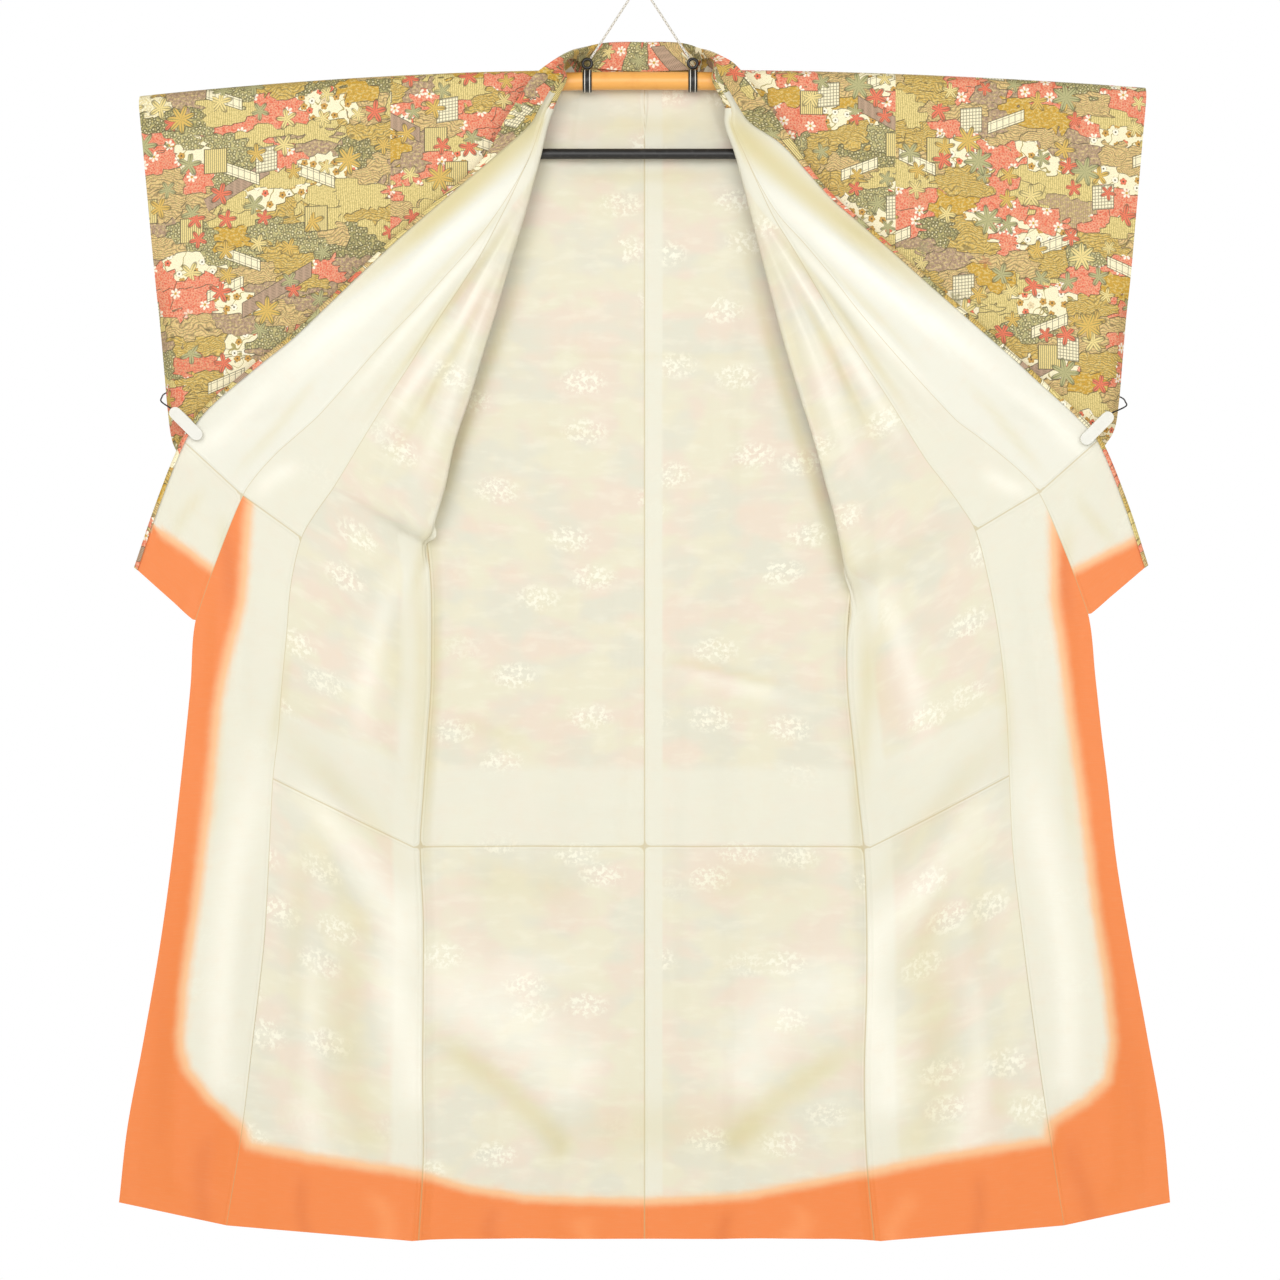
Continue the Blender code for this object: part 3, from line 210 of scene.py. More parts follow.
COLLAR_END_DROP = 81.0
NECK_LINING_START = 4.0

# Outer edge of the collar, by the drop of the row that meets its seam: edge (out, drop), y, width
# turned in
COLLAR = [
    (0, (12.8, -1.2), (11.8, -1.3), -5.4, 4.2),
    (2, (14.7, 0.4), (13.5, 0.6), -5.3, 4.4),
    (4, (16.5, 3.1), (15.1, 2.8), -4.9, 4.4),
    (6, (18.3, 5.9), (17, 5.2), -4.3, 3.4),
    (10, (20.6, 10.1), (19.4, 8.6), -3.6, 1.5),
    (14.5, (23.3, 13), (22.1, 12.6), -3.2, 0.6),
    (19.5, (26.9, 16.1), (25.1, 16), -3.2, 0.5),
    (25, (30.7, 19.3), (28.8, 19.2), -3.2, 0.5),
    (30.5, (34.5, 22.7), (32.6, 22.5), -3.2, 0.5),
    (36, (38, 26), (36.3, 25.8), -3.3, 0.5),
    (42, (42.6, 30.4), (40.6, 29.6), -3.4, 0.5),
    (48, (46.7, 34.3), (44.9, 33.4), -3.5, 0.5),
    (54, (50.6, 37.4), (49, 37), -3.5, 0.5),
    (58, (53.4, 39.7), (51.9, 39.7), -3.5, 0.5),
    (61.5, (56.3, 42.1), (54.7, 42.2), -3.4, 0.5),
    (65, (58.6, 44.4), (57.4, 44.7), -3.3, 0.5),
    (69, (60.9, 47.9), (60, 47.7), -3.2, 0.5),
    (75, (64.2, 56), (63.5, 56), -3, 0.5),
    (81, (67.2, 64.7), (66.3, 64.4), -2.8, 0.5),
]
# The same for the collar round the neck, by the fraction from the centre back to the front of the rod
NECK = [
    (0, (0, -5.5), (0, -5.5), 2.6, 4.1),
    (0.2, (3.7, -5.5), (3.3, -5.5), 2.5, 4.1),
    (0.4, (6.6, -5.1), (5.9, -5.1), 1.4, 4.1),
    (0.6, (8.4, -4.2), (7.6, -4.1), -1.2, 4.2),
    (0.8, (10.4, -2.9), (9.6, -2.8), -4.2, 4.2),
    (1, (12.8, -1.2), (11.8, -1.3), -5.4, 4.2),
]
OVER_COLLAR_END_DROP = 36.0
COLLAR_LINING_START = 2.0

# Sleeves: the cuff edge's out at the top and the bottom, the bottom's drop, and the rod's sag per cm squared
LEFT_SLEEVE = {"top_out": 66.9, "bottom_out": 62.6, "bottom_drop": 50.5, "sag": 0.00080}
RIGHT_SLEEVE = {"top_out": 66.4, "bottom_out": 62.4, "bottom_drop": 48.6, "sag": 0.00056}
# Fractions from the rod to the bottom, and from the cuff edge to the seam
SLEEVE_ROWS = [0.0, 0.13, 0.26, 0.39, 0.5, 0.62, 0.75, 0.87, 0.95, 1.0]
SLEEVE_COLUMNS = [0.0, 0.045, 0.12, 0.26, 0.44, 0.64, 0.84, 1.0]
CUFF_OPENING = 25.0
SLEEVE_BOTTOM_TAPER = 3.0
SLEEVE_EDGE_TAPER = 2.4
SLEEVE_CORNER = 1.4

# Largest folds of the back: start (x, drop), end (x, drop), half width, height towards the viewer
BACK_FOLDS = [
    (-22, 20, -24.5, 150, 3, 0.5), (-14, 34, -15.5, 152, 3.4, -0.4),
    (-6.5, 20, -7, 150, 3, 0.45), (6.5, 24, 7.5, 150, 3.2, 0.45),
    (13.5, 30, 15, 152, 3.2, -0.4), (21.5, 26, 24, 150, 3, 0.5),
]
# Largest folds of the opened fronts, overlap panels and collar: the same columns
FRONT_FOLDS = [
    (-44.5, 70, -31.5, 112, 3, 1.1), (-51, 74, -40, 128, 3.2, -0.7),
    (-56, 80, -50, 146, 3, 0.8), (-36, 112, -37.5, 152, 3.4, 0.7),
    (-62, 100, -63.5, 146, 2.6, -0.5), (-24, 30, -34, 52, 1.8, 0.35),
    (44.5, 74, 31.5, 116, 3, 1.1), (51, 80, 40.5, 132, 3.2, -0.7),
    (56, 84, 50.5, 146, 3, 0.8), (36.5, 116, 37.5, 152, 3.4, 0.7),
    (62, 104, 63, 146, 2.6, -0.5), (22, 30, 31, 50, 1.8, 0.35),
]
SLEEVE_FOLDS = [
    (-40, 4, -46, 42, 2.6, 0.3), (-56, 6, -53, 42, 2.6, -0.3),
    (40, 4, 46, 40, 2.6, 0.3), (56, 6, 53, 40, 2.6, -0.3),
]


def one_side(table, column):
    """The rows of one side, whose own numbers are in column 1 on the left and 2 on the right."""
    return [(row[0], *row[column], *row[3:]) for row in table]


def make_side(name, sign, column, **own):
    tables = {"front": FRONT, "overlap": OVERLAP, "collar": COLLAR, "neck": NECK}
    return {"name": name, "sign": sign, **own,
            **{key: one_side(table, column) for key, table in tables.items()}}


LEFT = make_side("left", -1, 1, sleeve=LEFT_SLEEVE, neck_shift=0.0, side_top=33.6, flat_from=61.5)
RIGHT = make_side("right", 1, 2, sleeve=RIGHT_SLEEVE, neck_shift=-1.4, side_top=33.2, flat_from=65.0)
SIDES = (LEFT, RIGHT)

# Where each panel lies on the printed cloth, across and along, so that the print breaks at the seams
PRINT_ACROSS = {"left": 0.0, "right": 57.0}
OVERLAP_PRINT = (33.0, 19.0)
SLEEVE_PRINT = (21.0, 160.0)
COLLAR_PRINT = (91.0, 7.0)


# Helpers on numbers and tables

def smooth(t):
    t = min(max(t, 0.0), 1.0)
    return t * t * (3.0 - 2.0 * t)


def smooth_array(t):
    t = np.clip(t, 0.0, 1.0)
    return t * t * (3.0 - 2.0 * t)


def mix(a, b, t):
    return a + (b - a) * t


def mix_points(p, q, t):
    return tuple(mix(a, b, t) for a, b in zip(p, q))


def hermite(t, start, start_slope, end, end_slope):
    """A smooth curve between two values with the slopes they have, at a fraction of the way."""
    return ((2 * t**3 - 3 * t**2 + 1) * start + (t**3 - 2 * t**2 + t) * start_slope
            + (3 * t**2 - 2 * t**3) * end + (t**3 - t**2) * end_slope)


def read(table, key):
    """The table's columns at a key between its rows, on a smooth curve through them."""
    keys = [row[0] for row in table]
    if key <= keys[0]:
        return table[0][1:]
    if key >= keys[-1]:
        return table[-1][1:]
    i = max(n for n, value in enumerate(keys) if value <= key)
    before, after = max(i - 1, 0), min(i + 2, len(table) - 1)
    span = keys[i + 1] - keys[i]
    t = (key - keys[i]) / span
    columns = []
    for c in range(1, len(table[0])):
        p0, p1, p2, p3 = (table[n][c] for n in (before, i, i + 1, after))
        m1 = (p2 - p0) / (keys[i + 1] - keys[before]) * span
        m2 = (p3 - p1) / (keys[after] - keys[i]) * span
        columns.append(hermite(t, p1, m1, p2, m2))
    return tuple(columns)


def sag(side, out):
    """How far the bowed rod lies below its middle."""
    return side["sleeve"]["sag"] * out * out


def bowed(side, out, drop, share=1.0):
    """The drop of a point of the cloth with the rod's bow in it."""
    return drop + sag(side, out) * (1.0 - smooth(drop / BOW_END_DROP)) * share


def fold_height(folds, x, drop):
    """Height towards the viewer of soft ridges and troughs, each along a line."""
    height = 0.0
    for x0, d0, x1, d1, width, rise in folds:
        along = ((x - x0) * (x1 - x0) + (drop - d0) * (d1 - d0)) / ((x1 - x0)**2 + (d1 - d0)**2)
        t = min(max(along, 0.0), 1.0)
        distance = math.hypot(x - mix(x0, x1, t), drop - mix(d0, d1, t))
        ends = smooth(along * 3.0) * (1.0 if d1 > THROUGH_HEM_DROP else smooth((1.0 - along) * 3.0))
        height += rise * ends * math.exp(-(distance / width)**2)
    return height


# Sections of the body panels. A point is (out, drop, y).

def back_depth(side, out, drop):
    """Depth of the back panel: on the rod at the top, behind the rod's rings at the neck."""
    hang = mix(DRAPE_RADIUS, HEM_DEPTH, smooth((drop - 40.0) / 100.0))
    neck = NECK_STAND_OFF * smooth((NECK_OUT - out) / 2.0) * math.exp(-(drop / 14.0)**2)
    fade = smooth(drop / 30.0) * smooth(out / 3.0 + 0.3)
    return hang + neck - fade * fold_height(BACK_FOLDS, side["sign"] * out, drop)


def side_edges(side, drop):
    """Out of the side edge, and the depths of its back and front edges."""
    out = read(side["front"], drop)[0] if drop > side["front"][0][0] else side["side_top"]
    half_open = mix(DRAPE_RADIUS, SEAM_INSET, smooth((drop - SLEEVE_ATTACHED - 1.0) / 14.0))
    fold = read(side["front"], drop)[1]
    middle = mix(-0.3, 0.0, smooth((out - fold) / 3.0)) if drop > SIDE_SEAM_START else 0.0
    return out, middle + half_open, middle - half_open


def fold_kept(side, drop):
    """1 where the front hangs and folds back at its crease, 0 where it opens straight from the side seam."""
    if drop < side["front"][0][0]:
        return 1.0
    out, crease = read(side["front"], drop)[:2]
    return smooth((out - crease - 0.15) / UNFOLDING)


def neck_columns(start, curl):
    """Advance and lift of the curl's columns and of the seam past it."""
    angle = math.radians(max(curl, 0.5))
    radius = NECK_CURL_LENGTH / angle
    columns = [(radius * math.sin(angle * t), radius * (1.0 - math.cos(angle * t)))
               for t in (0.0, 0.33, 0.67, 1.0)]
    end = columns[-1]
    for length in (0.5 * NECK_STRIP, NECK_STRIP):
        columns.append((end[0] + length * math.cos(angle), end[1] + length * math.sin(angle)))
    return [(start - advance, lift) for advance, lift in columns]


def side_to_neck(out, start, curl):
    """Out and lift of a row's columns, from the side edge to the seam past the curl."""
    columns = [(out - inwards, 0.0) for inwards, _ in SIDE_COLUMNS] + [(mix(out, start, 0.5), 0.0)]
    return columns + neck_columns(start, curl)


def back_row(side, drop):
    """Side edge to centre seam."""
    out, edge_y, _ = side_edges(side, drop)
    spread = smooth(drop / 24.0)
    near_neck = [o for o, _ in neck_columns(NECK_OUT + side["neck_shift"], 0.0)]
    near_neck = [mix(out, near_neck[0], 0.5)] + near_neck + [near_neck[-1] * 0.5, 0.0]
    side_outs = [out - inwards for inwards, _ in SIDE_COLUMNS]
    even = [mix(side_outs[-1], 0.0, (k + 1) / len(near_neck)) for k in range(len(near_neck))]
    outs = side_outs + [mix(a, b, spread) for a, b in zip(near_neck, even)]
    opened = 1.0 - fold_kept(side, drop)
    row = []
    for k, o in enumerate(outs):
        y = back_depth(side, o, drop)
        if k < len(SIDE_COLUMNS):
            y = mix(mix(edge_y, y, SIDE_COLUMNS[k][1]), edge_y + SIDE_SLOPE * (out - o), opened)
        row.append((o, bowed(side, o, drop), y))
    return row


def shoulder_row(side, angle, curl):
    """Over the rod, from the sleeve's seam to the neck's edge."""
    out = side["side_top"]
    turned = math.radians(angle)
    start = mix(NECK_OUT, NECK_CURL[0][1], smooth(angle / 180.0)) + side["neck_shift"]
    start += NECK_SPREAD * math.sin(turned)
    row = []
    for o, lift in side_to_neck(out, start, curl):
        back_lift = NECK_STAND_OFF * smooth((NECK_OUT - o) / 2.0) * (1.0 - smooth(angle / 90.0))
        reach = DRAPE_RADIUS + lift + back_lift
        row.append((o, sag(side, o) - reach * math.sin(turned), reach * math.cos(turned)))
    return row


def hanging_front_row(side, drop):
    """Rows beside the neck, where the edge turns over towards the viewer."""
    out = side_edges(side, drop)[0]
    start, curl = read(NECK_CURL, drop)
    start += side["neck_shift"]
    return [(o, bowed(side, o, drop), -DRAPE_RADIUS - lift) for o, lift in side_to_neck(out, start, curl)]


def folded_front_row(side, drop):
    """Side edge, fold, and the part that is folded out to its inner seam."""
    out, _, edge_y = side_edges(side, drop)
    _, crease, *seam = read(side["front"], drop)
    inner = crease + CREASE_RADIUS
    folded = [(out - inwards, mix(edge_y, -DRAPE_RADIUS, part)) for inwards, part in SIDE_COLUMNS]
    folded.append((mix(folded[-1][0], inner, 0.5), -DRAPE_RADIUS))
    for turn in (0.0, 60.0, 120.0, 180.0):
        angle = math.radians(turn)
        folded.append((inner - CREASE_RADIUS * math.sin(angle),
                       -DRAPE_RADIUS - CREASE_RADIUS * (1.0 - math.cos(angle))))
    flat = [(out + FLAT_SPACING * k, edge_y - FLAT_SPACING * SIDE_SLOPE * k) for k in range(len(folded))]
    upright = [(out + UPRIGHT_LEAN * k, edge_y - UPRIGHT_SPACING * k) for k in range(len(folded))]
    kept = fold_kept(side, drop)
    start, end, part = (upright, folded, 2.0 * kept - 1.0) if kept > 0.5 else (flat, upright, 2.0 * kept)
    points = [mix_points(f, g, part) for f, g in zip(start, end)]
    row = [(o, bowed(side, o, drop, 1.0 if k <= FOLD_START else FOLDED_OUT_BOW), y)
           for k, (o, y) in enumerate(points)]
    row += [mix_points(row[-1], seam, 0.5), tuple(seam)]
    if kept > 0.5:
        return [lift_front(side, point, float(k >= FOLD_END)) for k, point in enumerate(row)]
    return [lift_front(side, point, smooth((point[0] - out) / 4.0)) for point in row]


def lift_front(side, point, opened):
    """Adds the largest folds to a point of the part that lies open."""
    out, drop, y = point
    return out, drop, y - opened * fold_height(FRONT_FOLDS, side["sign"] * out, drop)


def front_row(side, drop):
    return hanging_front_row(side, drop) if drop < side["front"][0][0] else folded_front_row(side, drop)


# Grids of points in space. Rows run down the cloth, columns across it.

def place(side, point):
    out, drop, y = point
    return Vector((CENTRE_X + side["sign"] * out, y, -ROD_DROP - drop)) * CM


def body_grid(side):
    """The body panel's points, from the back hem over the rod to the front hem. None is the neck's hole."""
    rows = [back_row(side, drop) for drop in reversed(BACK_ROWS)]
    rows += [shoulder_row(side, angle, curl) + [None, None] for angle, curl in SHOULDER_ROWS]
    rows += [front_row(side, drop) + [None, None] for drop in FRONT_ROWS]
    return [[point and place(side, point) for point in row] for row in rows]


def overlap_rows():
    return [drop for drop in FRONT_ROWS if drop >= KENSAKI_DROP]


def overlap_grid(side):
    """From the body's seam to the collar's seam or the free edge."""
    grid = []
    for drop in overlap_rows():
        seam = front_row(side, drop)[-1]
        edge = lift_front(side, read(side["overlap"], drop), 1.0)
        grid.append([place(side, mix_points(seam, edge, t)) for t in (0.0, 0.5, 1.0)])
    return grid


def collar_stations(side):
    """Point inside the seam, seam point, edge point and width turned in, from the centre back to the end."""
    stations = []
    below, top = back_row(side, BACK_ROWS[1]), back_row(side, 0.0)
    neck = [(below[k], top[k]) for k in (-1, -2, -3)]
    neck += [tuple(shoulder_row(side, angle, curl)[-2:]) for angle, curl in SHOULDER_ROWS]
    for k, (inside, seam) in enumerate(neck):
        *edge, turned_in = read(side["neck"], k / len(neck))
        stations.append((inside, seam, tuple(edge), turned_in))
    for drop in FRONT_ROWS:
        if drop > COLLAR_END_DROP:
            break
        inside, seam = front_row(side, drop)[-2:]
        if drop >= KENSAKI_DROP:
            inside, seam = seam, lift_front(side, read(side["overlap"], drop), 1.0)
        *edge, turned_in = read(side["collar"], drop)
        stations.append((inside, seam, tuple(edge), turned_in))
    return stations


def collar_grid(side):
    """Seam, outer half, fold, and the half that is turned in towards the viewer."""
    stations = collar_stations(side)
    seams = [place(side, station[1]) for station in stations]
    edges = [place(side, station[2]) for station in stations]
    grid = []
    neck_end = 3 + len(SHOULDER_ROWS)
    for k, (inside, _, _, turned_in) in enumerate(stations):
        offset = mix(NECK_FOLD_OFFSET, COLLAR_FOLD_OFFSET, smooth((k - neck_end) / 5.0))
        seam, edge = seams[k], edges[k]
        after, before = min(k + 1, len(stations) - 1), max(k - 1, 0)
        along = (seams[after] + edges[after] - seams[before] - edges[before]).normalized()
        root = seam + (seam - place(side, inside)).normalized() * COLLAR_ROOT * CM
        across = (edge - root).normalized()
        inwards = -side["sign"] * across.cross(along).normalized() * offset * CM
        width = (edge - root).length
        crown = width - COLLAR_FOLD_LENGTH * CM
        turned = max(width - turned_in * CM, COLLAR_TURN_MARGIN * CM)
        columns = [(0.0, 0.0), (crown / 3.0, 0.0), (crown / 1.5, 0.0), (crown, 0.0), (width, 0.5),
                   (crown, 1.0), (mix(crown, turned, 0.5), 1.0), (turned, 1.0)]
        grid.append([seam] + [root + across * reach + inwards * lift for reach, lift in columns])
    return grid


def sleeve_point(side, row, column, face):
    """A point of the sleeve's front (face -1) or back (face 1), at fractions down it and in from the cuff."""
    sleeve = side["sleeve"]
    edge = mix(sleeve["top_out"], sleeve["bottom_out"], row)
    edge -= SLEEVE_CORNER * smooth((row - 0.93) / 0.07)
    out = mix(edge, side["side_top"], column)
    drop = mix(sag(side, out), sleeve["bottom_drop"], row)
    bottom = min((sleeve["bottom_drop"] - drop) / SLEEVE_BOTTOM_TAPER, 1.0)
    shut = smooth((drop - CUFF_OPENING) / 5.0)
    cuff = mix(0.85, min((edge - out) / SLEEVE_EDGE_TAPER, 1.0), shut)
    cuff = mix(cuff, 1.0, smooth((edge - out) / SLEEVE_EDGE_TAPER))
    open_half = mix(SEAM_INSET, DRAPE_RADIUS, math.sqrt(max(bottom, 0.0)) * cuff)
    free = smooth(row * 4.0) * smooth((edge - out) / 8.0) * smooth((out - side["side_top"]) / 8.0)
    ripple = fold_height(SLEEVE_FOLDS, side["sign"] * out, drop) * free * bottom
    return out, drop, face * open_half - ripple


def sleeve_grid(side):
    """From the back's bottom over the rod to the front's bottom, each row from the cuff to the seam."""
    def face_row(row, face):
        return [sleeve_point(side, row, column, face) for column in SLEEVE_COLUMNS]

    outs = [mix(side["sleeve"]["top_out"], side["side_top"], column) for column in SLEEVE_COLUMNS]
    rows = [face_row(row, 1) for row in reversed(SLEEVE_ROWS)]
    for angle, _ in SHOULDER_ROWS:
        turned = math.radians(angle)
        rows.append([(o, sag(side, o) - DRAPE_RADIUS * math.sin(turned), DRAPE_RADIUS * math.cos(turned))
                     for o in outs])
    rows += [face_row(row, -1) for row in SLEEVE_ROWS]
    return [[place(side, point) for point in row] for row in rows]


def rod_drop(x):
    return sag(LEFT if x < CENTRE_X else RIGHT, abs(x - CENTRE_X))


def smooth_route(points, steps):
    """Points on a smooth curve through the route's own points."""
    table = [(k, *point) for k, point in enumerate(points)]
    count = (len(points) - 1) * steps
    return [read(table, k / steps) for k in range(count + 1)]


# Node materials. A Wire is one output socket, and arithmetic on it makes Math nodes.

class Wire:
    def __init__(self, tree, socket):
        self.tree, self.socket = tree, socket

    def maths(self, operation, *others):
        node = self.tree.nodes.new("ShaderNodeMath")
        node.operation = operation
        for slot_in, value in zip(node.inputs, (self, *others)):
            plug(self.tree, slot_in, value)
        return Wire(self.tree, node.outputs[0])

    def __add__(self, other):
        return self.maths("ADD", other)

    def __sub__(self, other):
        return self.maths("SUBTRACT", other)

    def __mul__(self, other):
        return self.maths("MULTIPLY", other)

    def __truediv__(self, other):
        return self.maths("DIVIDE", other)

    def below(self, limit, soft=0.02):
        """1 where the value is under the limit, with a soft step."""
        node = self.tree.nodes.new("ShaderNodeMapRange")
        node.interpolation_type = "SMOOTHSTEP"
        plug(self.tree, node.inputs["Value"], self)
        node.inputs["From Min"].default_value = limit + soft
        node.inputs["From Max"].default_value = limit - soft
        return Wire(self.tree, node.outputs[0])

    def above(self, limit, soft=0.02):
        return self.below(limit, -soft)

    def between(self, low, high, soft=0.02):
        return self.above(low, soft) * self.below(high, soft)

    def near(self, value, half, soft=0.02):
        return (self - value).maths("ABSOLUTE").below(half, soft)


def plug(tree, slot_in, value):
    if isinstance(value, Wire):
        tree.links.new(value.socket, slot_in)
    else:
        slot_in.default_value = value


class Pattern:
    """Short names for the nodes that a pattern is made of, in one tree."""

    def __init__(self, tree):
        self.tree = tree

    def node(self, kind, settings=None, **inputs):
        made = self.tree.nodes.new("ShaderNode" + kind)
        for key, value in (settings or {}).items():
            setattr(made, key, value)
        return self.connect(made, **inputs)

    def connect(self, node, **inputs):
        """Gives a node's inputs wires or values. _ stands for a space in an input's name."""
        for key, value in inputs.items():
            plug(self.tree, node.inputs[key.replace("_", " ")], value)
        return node

    def wire(self, node, output=0):
        return Wire(self.tree, node.outputs[output])

    def uv(self):
        """The cloth's own coordinates in centimetres, across and up."""
        node = self.node("UVMap", {"uv_map": "cloth"})
        return self.split(self.wire(node))

    def split(self, vector):
        node = self.node("SeparateXYZ", Vector=vector)
        return self.wire(node, 0), self.wire(node, 1)

    def join(self, x, y, z=0.0):
        return self.wire(self.node("CombineXYZ", X=x, Y=y, Z=z))

    def attribute(self, name):
        return self.wire(self.node("Attribute", {"attribute_name": name}), "Fac")

    def noise(self, vector, scale, detail=2.0, roughness=0.5):
        node = self.node("TexNoise", Vector=vector, Scale=scale, Detail=detail, Roughness=roughness)
        return self.wire(node, "Fac" if "Fac" in node.outputs else 0)

    def cells(self, x, y, width, height, seed=0.0, randomness=0.85):
        """Distance to a scattered centre in cm, the offset from it in cm, and one random number per cell."""
        seed_y = seed * 1.7
        at = self.join(x / width + seed, y / height + seed_y)
        node = self.node("TexVoronoi", {"voronoi_dimensions": "2D"}, Vector=at, Scale=1.0,
                         Randomness=randomness)
        cx, cy = self.split(self.wire(node, "Position"))
        dx, dy = x - (cx - seed) * width, y - (cy - seed_y) * height
        distance = (dx * dx + dy * dy).maths("SQRT")
        random = self.split(self.wire(node, "Color"))
        return distance, dx, dy, random

    def mix(self, amount, first, second):
        node = self.node("Mix", {"data_type": "RGBA"})
        plug(self.tree, node.inputs["Factor"], amount)
        plug(self.tree, node.inputs[6], first)
        plug(self.tree, node.inputs[7], second)
        return Wire(self.tree, node.outputs[2])

    def choose(self, value, stops):
        """A colour for each range of the value. stops are (start, colour)."""
        node = self.node("ValToRGB", Fac=value)
        ramp = node.color_ramp
        ramp.interpolation = "CONSTANT"
        while len(ramp.elements) < len(stops):
            ramp.elements.new(0.5)
        for element, (start, colour) in zip(ramp.elements, stops):
            element.position = start
            element.color = colour
        return self.wire(node)


def srgb(red, green, blue):
    """A colour from its usual 0 to 255 numbers."""
    def linear(value):
        value /= 255.0
        return value / 12.92 if value <= 0.04045 else ((value + 0.055) / 1.055)**2.4
    return linear(red), linear(green), linear(blue), 1.0


OCHRE, TAN, MUSTARD = srgb(220, 184, 96), srgb(228, 194, 136), srgb(208, 162, 54)
CREAM, WHITE, SALMON = srgb(250, 241, 206), srgb(252, 247, 228), srgb(232, 122, 92)
PINK, OLIVE, SAGE = srgb(242, 172, 134), srgb(160, 144, 72), srgb(184, 180, 130)
TAUPE, INK, LEAF, BRICK = srgb(190, 160, 136), srgb(86, 80, 58), srgb(122, 128, 84), srgb(208, 84, 62)
STRAW, MOSS, PLUM = srgb(236, 216, 146), srgb(156, 152, 104), srgb(140, 110, 96)
LINING, SATIN_LINING = srgb(225, 224, 210), srgb(225, 225, 214)
ORANGE, PEACH = srgb(234, 131, 66), srgb(238, 188, 142)
# The last two are the orange's colours under painted shade and under painted highlight
ORANGE_PAINTED_SHADE, ORANGE_PAINTED_HIGHLIGHT = srgb(212, 108, 50), srgb(246, 160, 100)
# After the seams' own line come the lining's colours under painted shade and under painted highlight
SEAM_LINE, PAINTED_SHADE_COLOUR, PAINTED_HIGHLIGHT_COLOUR = srgb(188, 170, 120), srgb(206, 194, 138), srgb(255, 254, 246)


def petal_angle(cell, count):
    """The angle round a cell's centre, turned by its own random number, times the number of petals or rays."""
    _, dx, dy, random = cell
    return (dy.maths("ARCTAN2", dx) + random[0] * 6.0) * count


def flower(cell, radius, petals, depth, pointed=False):
    """A mask of flowers or leaves at the cells' centres, and the mask of their middles."""
    wave = petal_angle(cell, petals).maths("COSINE").maths("ABSOLUTE")
    if pointed:
        wave = wave.maths("POWER", 1.7)
    edge = wave * depth + (1.0 - depth)
    return (cell[0] / (edge * radius)).below(1.0, 0.08), cell[0].below(radius * 0.24, 0.04)


def rays(cell, count, width):
    """Thin lines out from the cells' centres."""
    return petal_angle(cell, count).maths("SINE").maths("ABSOLUTE").below(width, 0.6 * width)


def lines(value, spacing, width):
    """Even lines across a coordinate in cm."""
    from_middle = ((value / spacing).maths("FRACT") - 0.5).maths("ABSOLUTE")
    return from_middle.below(0.5 * width / spacing, 0.3 * width / spacing)


# The kinds of cloud patch: start of their share, colour
PATCHES = {"ochre": (0.0, OCHRE), "tan": (0.12, TAN), "salmon": (0.25, SALMON), "cream": (0.46, CREAM),
           "mustard": (0.59, MUSTARD), "sage": (0.66, SAGE), "taupe": (0.75, TAUPE), "straw": (0.83, STRAW),
           "moss": (0.94, MOSS)}
HARD_EDGE = 0.001


def of_kind(kind, first, last=None):
    """Mask of the patches whose kind is one of PATCHES from the first to the last."""
    names = list(PATCHES)
    starts = [start for start, _ in PATCHES.values()] + [1.0]
    low, high = starts[names.index(first)], starts[names.index(last or first) + 1]
    if low == 0.0:
        return kind.below(high, HARD_EDGE)
    return kind.above(low, HARD_EDGE) if high == 1.0 else kind.between(low, high, HARD_EDGE)


def patch_kind(p, u, v):
    """Which kind of patch a place is in. Small cells take the kind of the wide cell under their centres."""
    warp = p.noise(p.join(u * 0.5, v), 0.3, 1.0)
    distance, dx, dy, _ = p.cells(u, v, 1.35, 0.95, 0.0, 0.7)
    wide = p.cells(u - dx + (warp - 0.5) * 6.0, v - dy + (warp - 0.5) * 4.0, 5.8, 2.7, 3.3)
    return wide[3][0], distance


def draw_patches(p, u, v, fine, bend):
    """Long drifts of cloud patches with scalloped edges, each kind with its own filling."""
    kind, distance = patch_kind(p, u, v)
    beside, _ = patch_kind(p, u + 0.09, v + 0.1)
    salmon, cream, taupe = (of_kind(kind, name) for name in ("salmon", "cream", "taupe"))
    grassy, leafy = of_kind(kind, "ochre", "tan"), of_kind(kind, "sage") + of_kind(kind, "moss")
    colour = p.choose(kind, PATCHES.values())
    grain = p.noise(p.join(u * 0.7, v), 3.4, 3.0)
    colour = p.mix(fine.above(0.52, 0.05) * 0.4, colour, p.mix(salmon, OLIVE, BRICK))
    colour = p.mix(grain.above(0.54, 0.05) * 0.5, colour, p.mix(salmon, STRAW, PINK))
    strokes = lines(v + bend * 4.0 + (u * 2.1).maths("SINE") * 0.12, 0.34, 0.11)
    colour = p.mix(grassy * strokes * 0.55, colour, INK)
    dots = p.cells(u, v, 0.56, 0.46, 5.1)
    rings = (leafy * 0.7 + salmon * 0.22) * dots[0].near(0.2, 0.06, 0.03)
    colour = p.mix(rings, colour, p.mix(salmon, INK, CREAM))
    colour = p.mix(leafy * dots[0].below(0.09, 0.03) * dots[3][0] * 0.8, colour, CREAM)
    clouded = p.noise(p.join(u, v), 2.6, 4.0).above(0.52, 0.05)
    colour = p.mix(taupe * clouded * 0.5, colour, PLUM)
    colour = p.mix(of_kind(kind, "straw") * lines(u + bend * 0.6, 0.28, 0.08) * 0.6, colour, OLIVE)
    colour = p.mix(cream, colour, CREAM)
    scallop = distance.above(0.52, 0.03) * distance.below(0.6, 0.03) * (taupe + grassy) * 0.35
    colour = p.mix(scallop, colour, INK)
    edge = (kind - beside).maths("ABSOLUTE").above(0.004, 0.003)
    return p.mix(edge * 0.8, colour, INK), cream, salmon


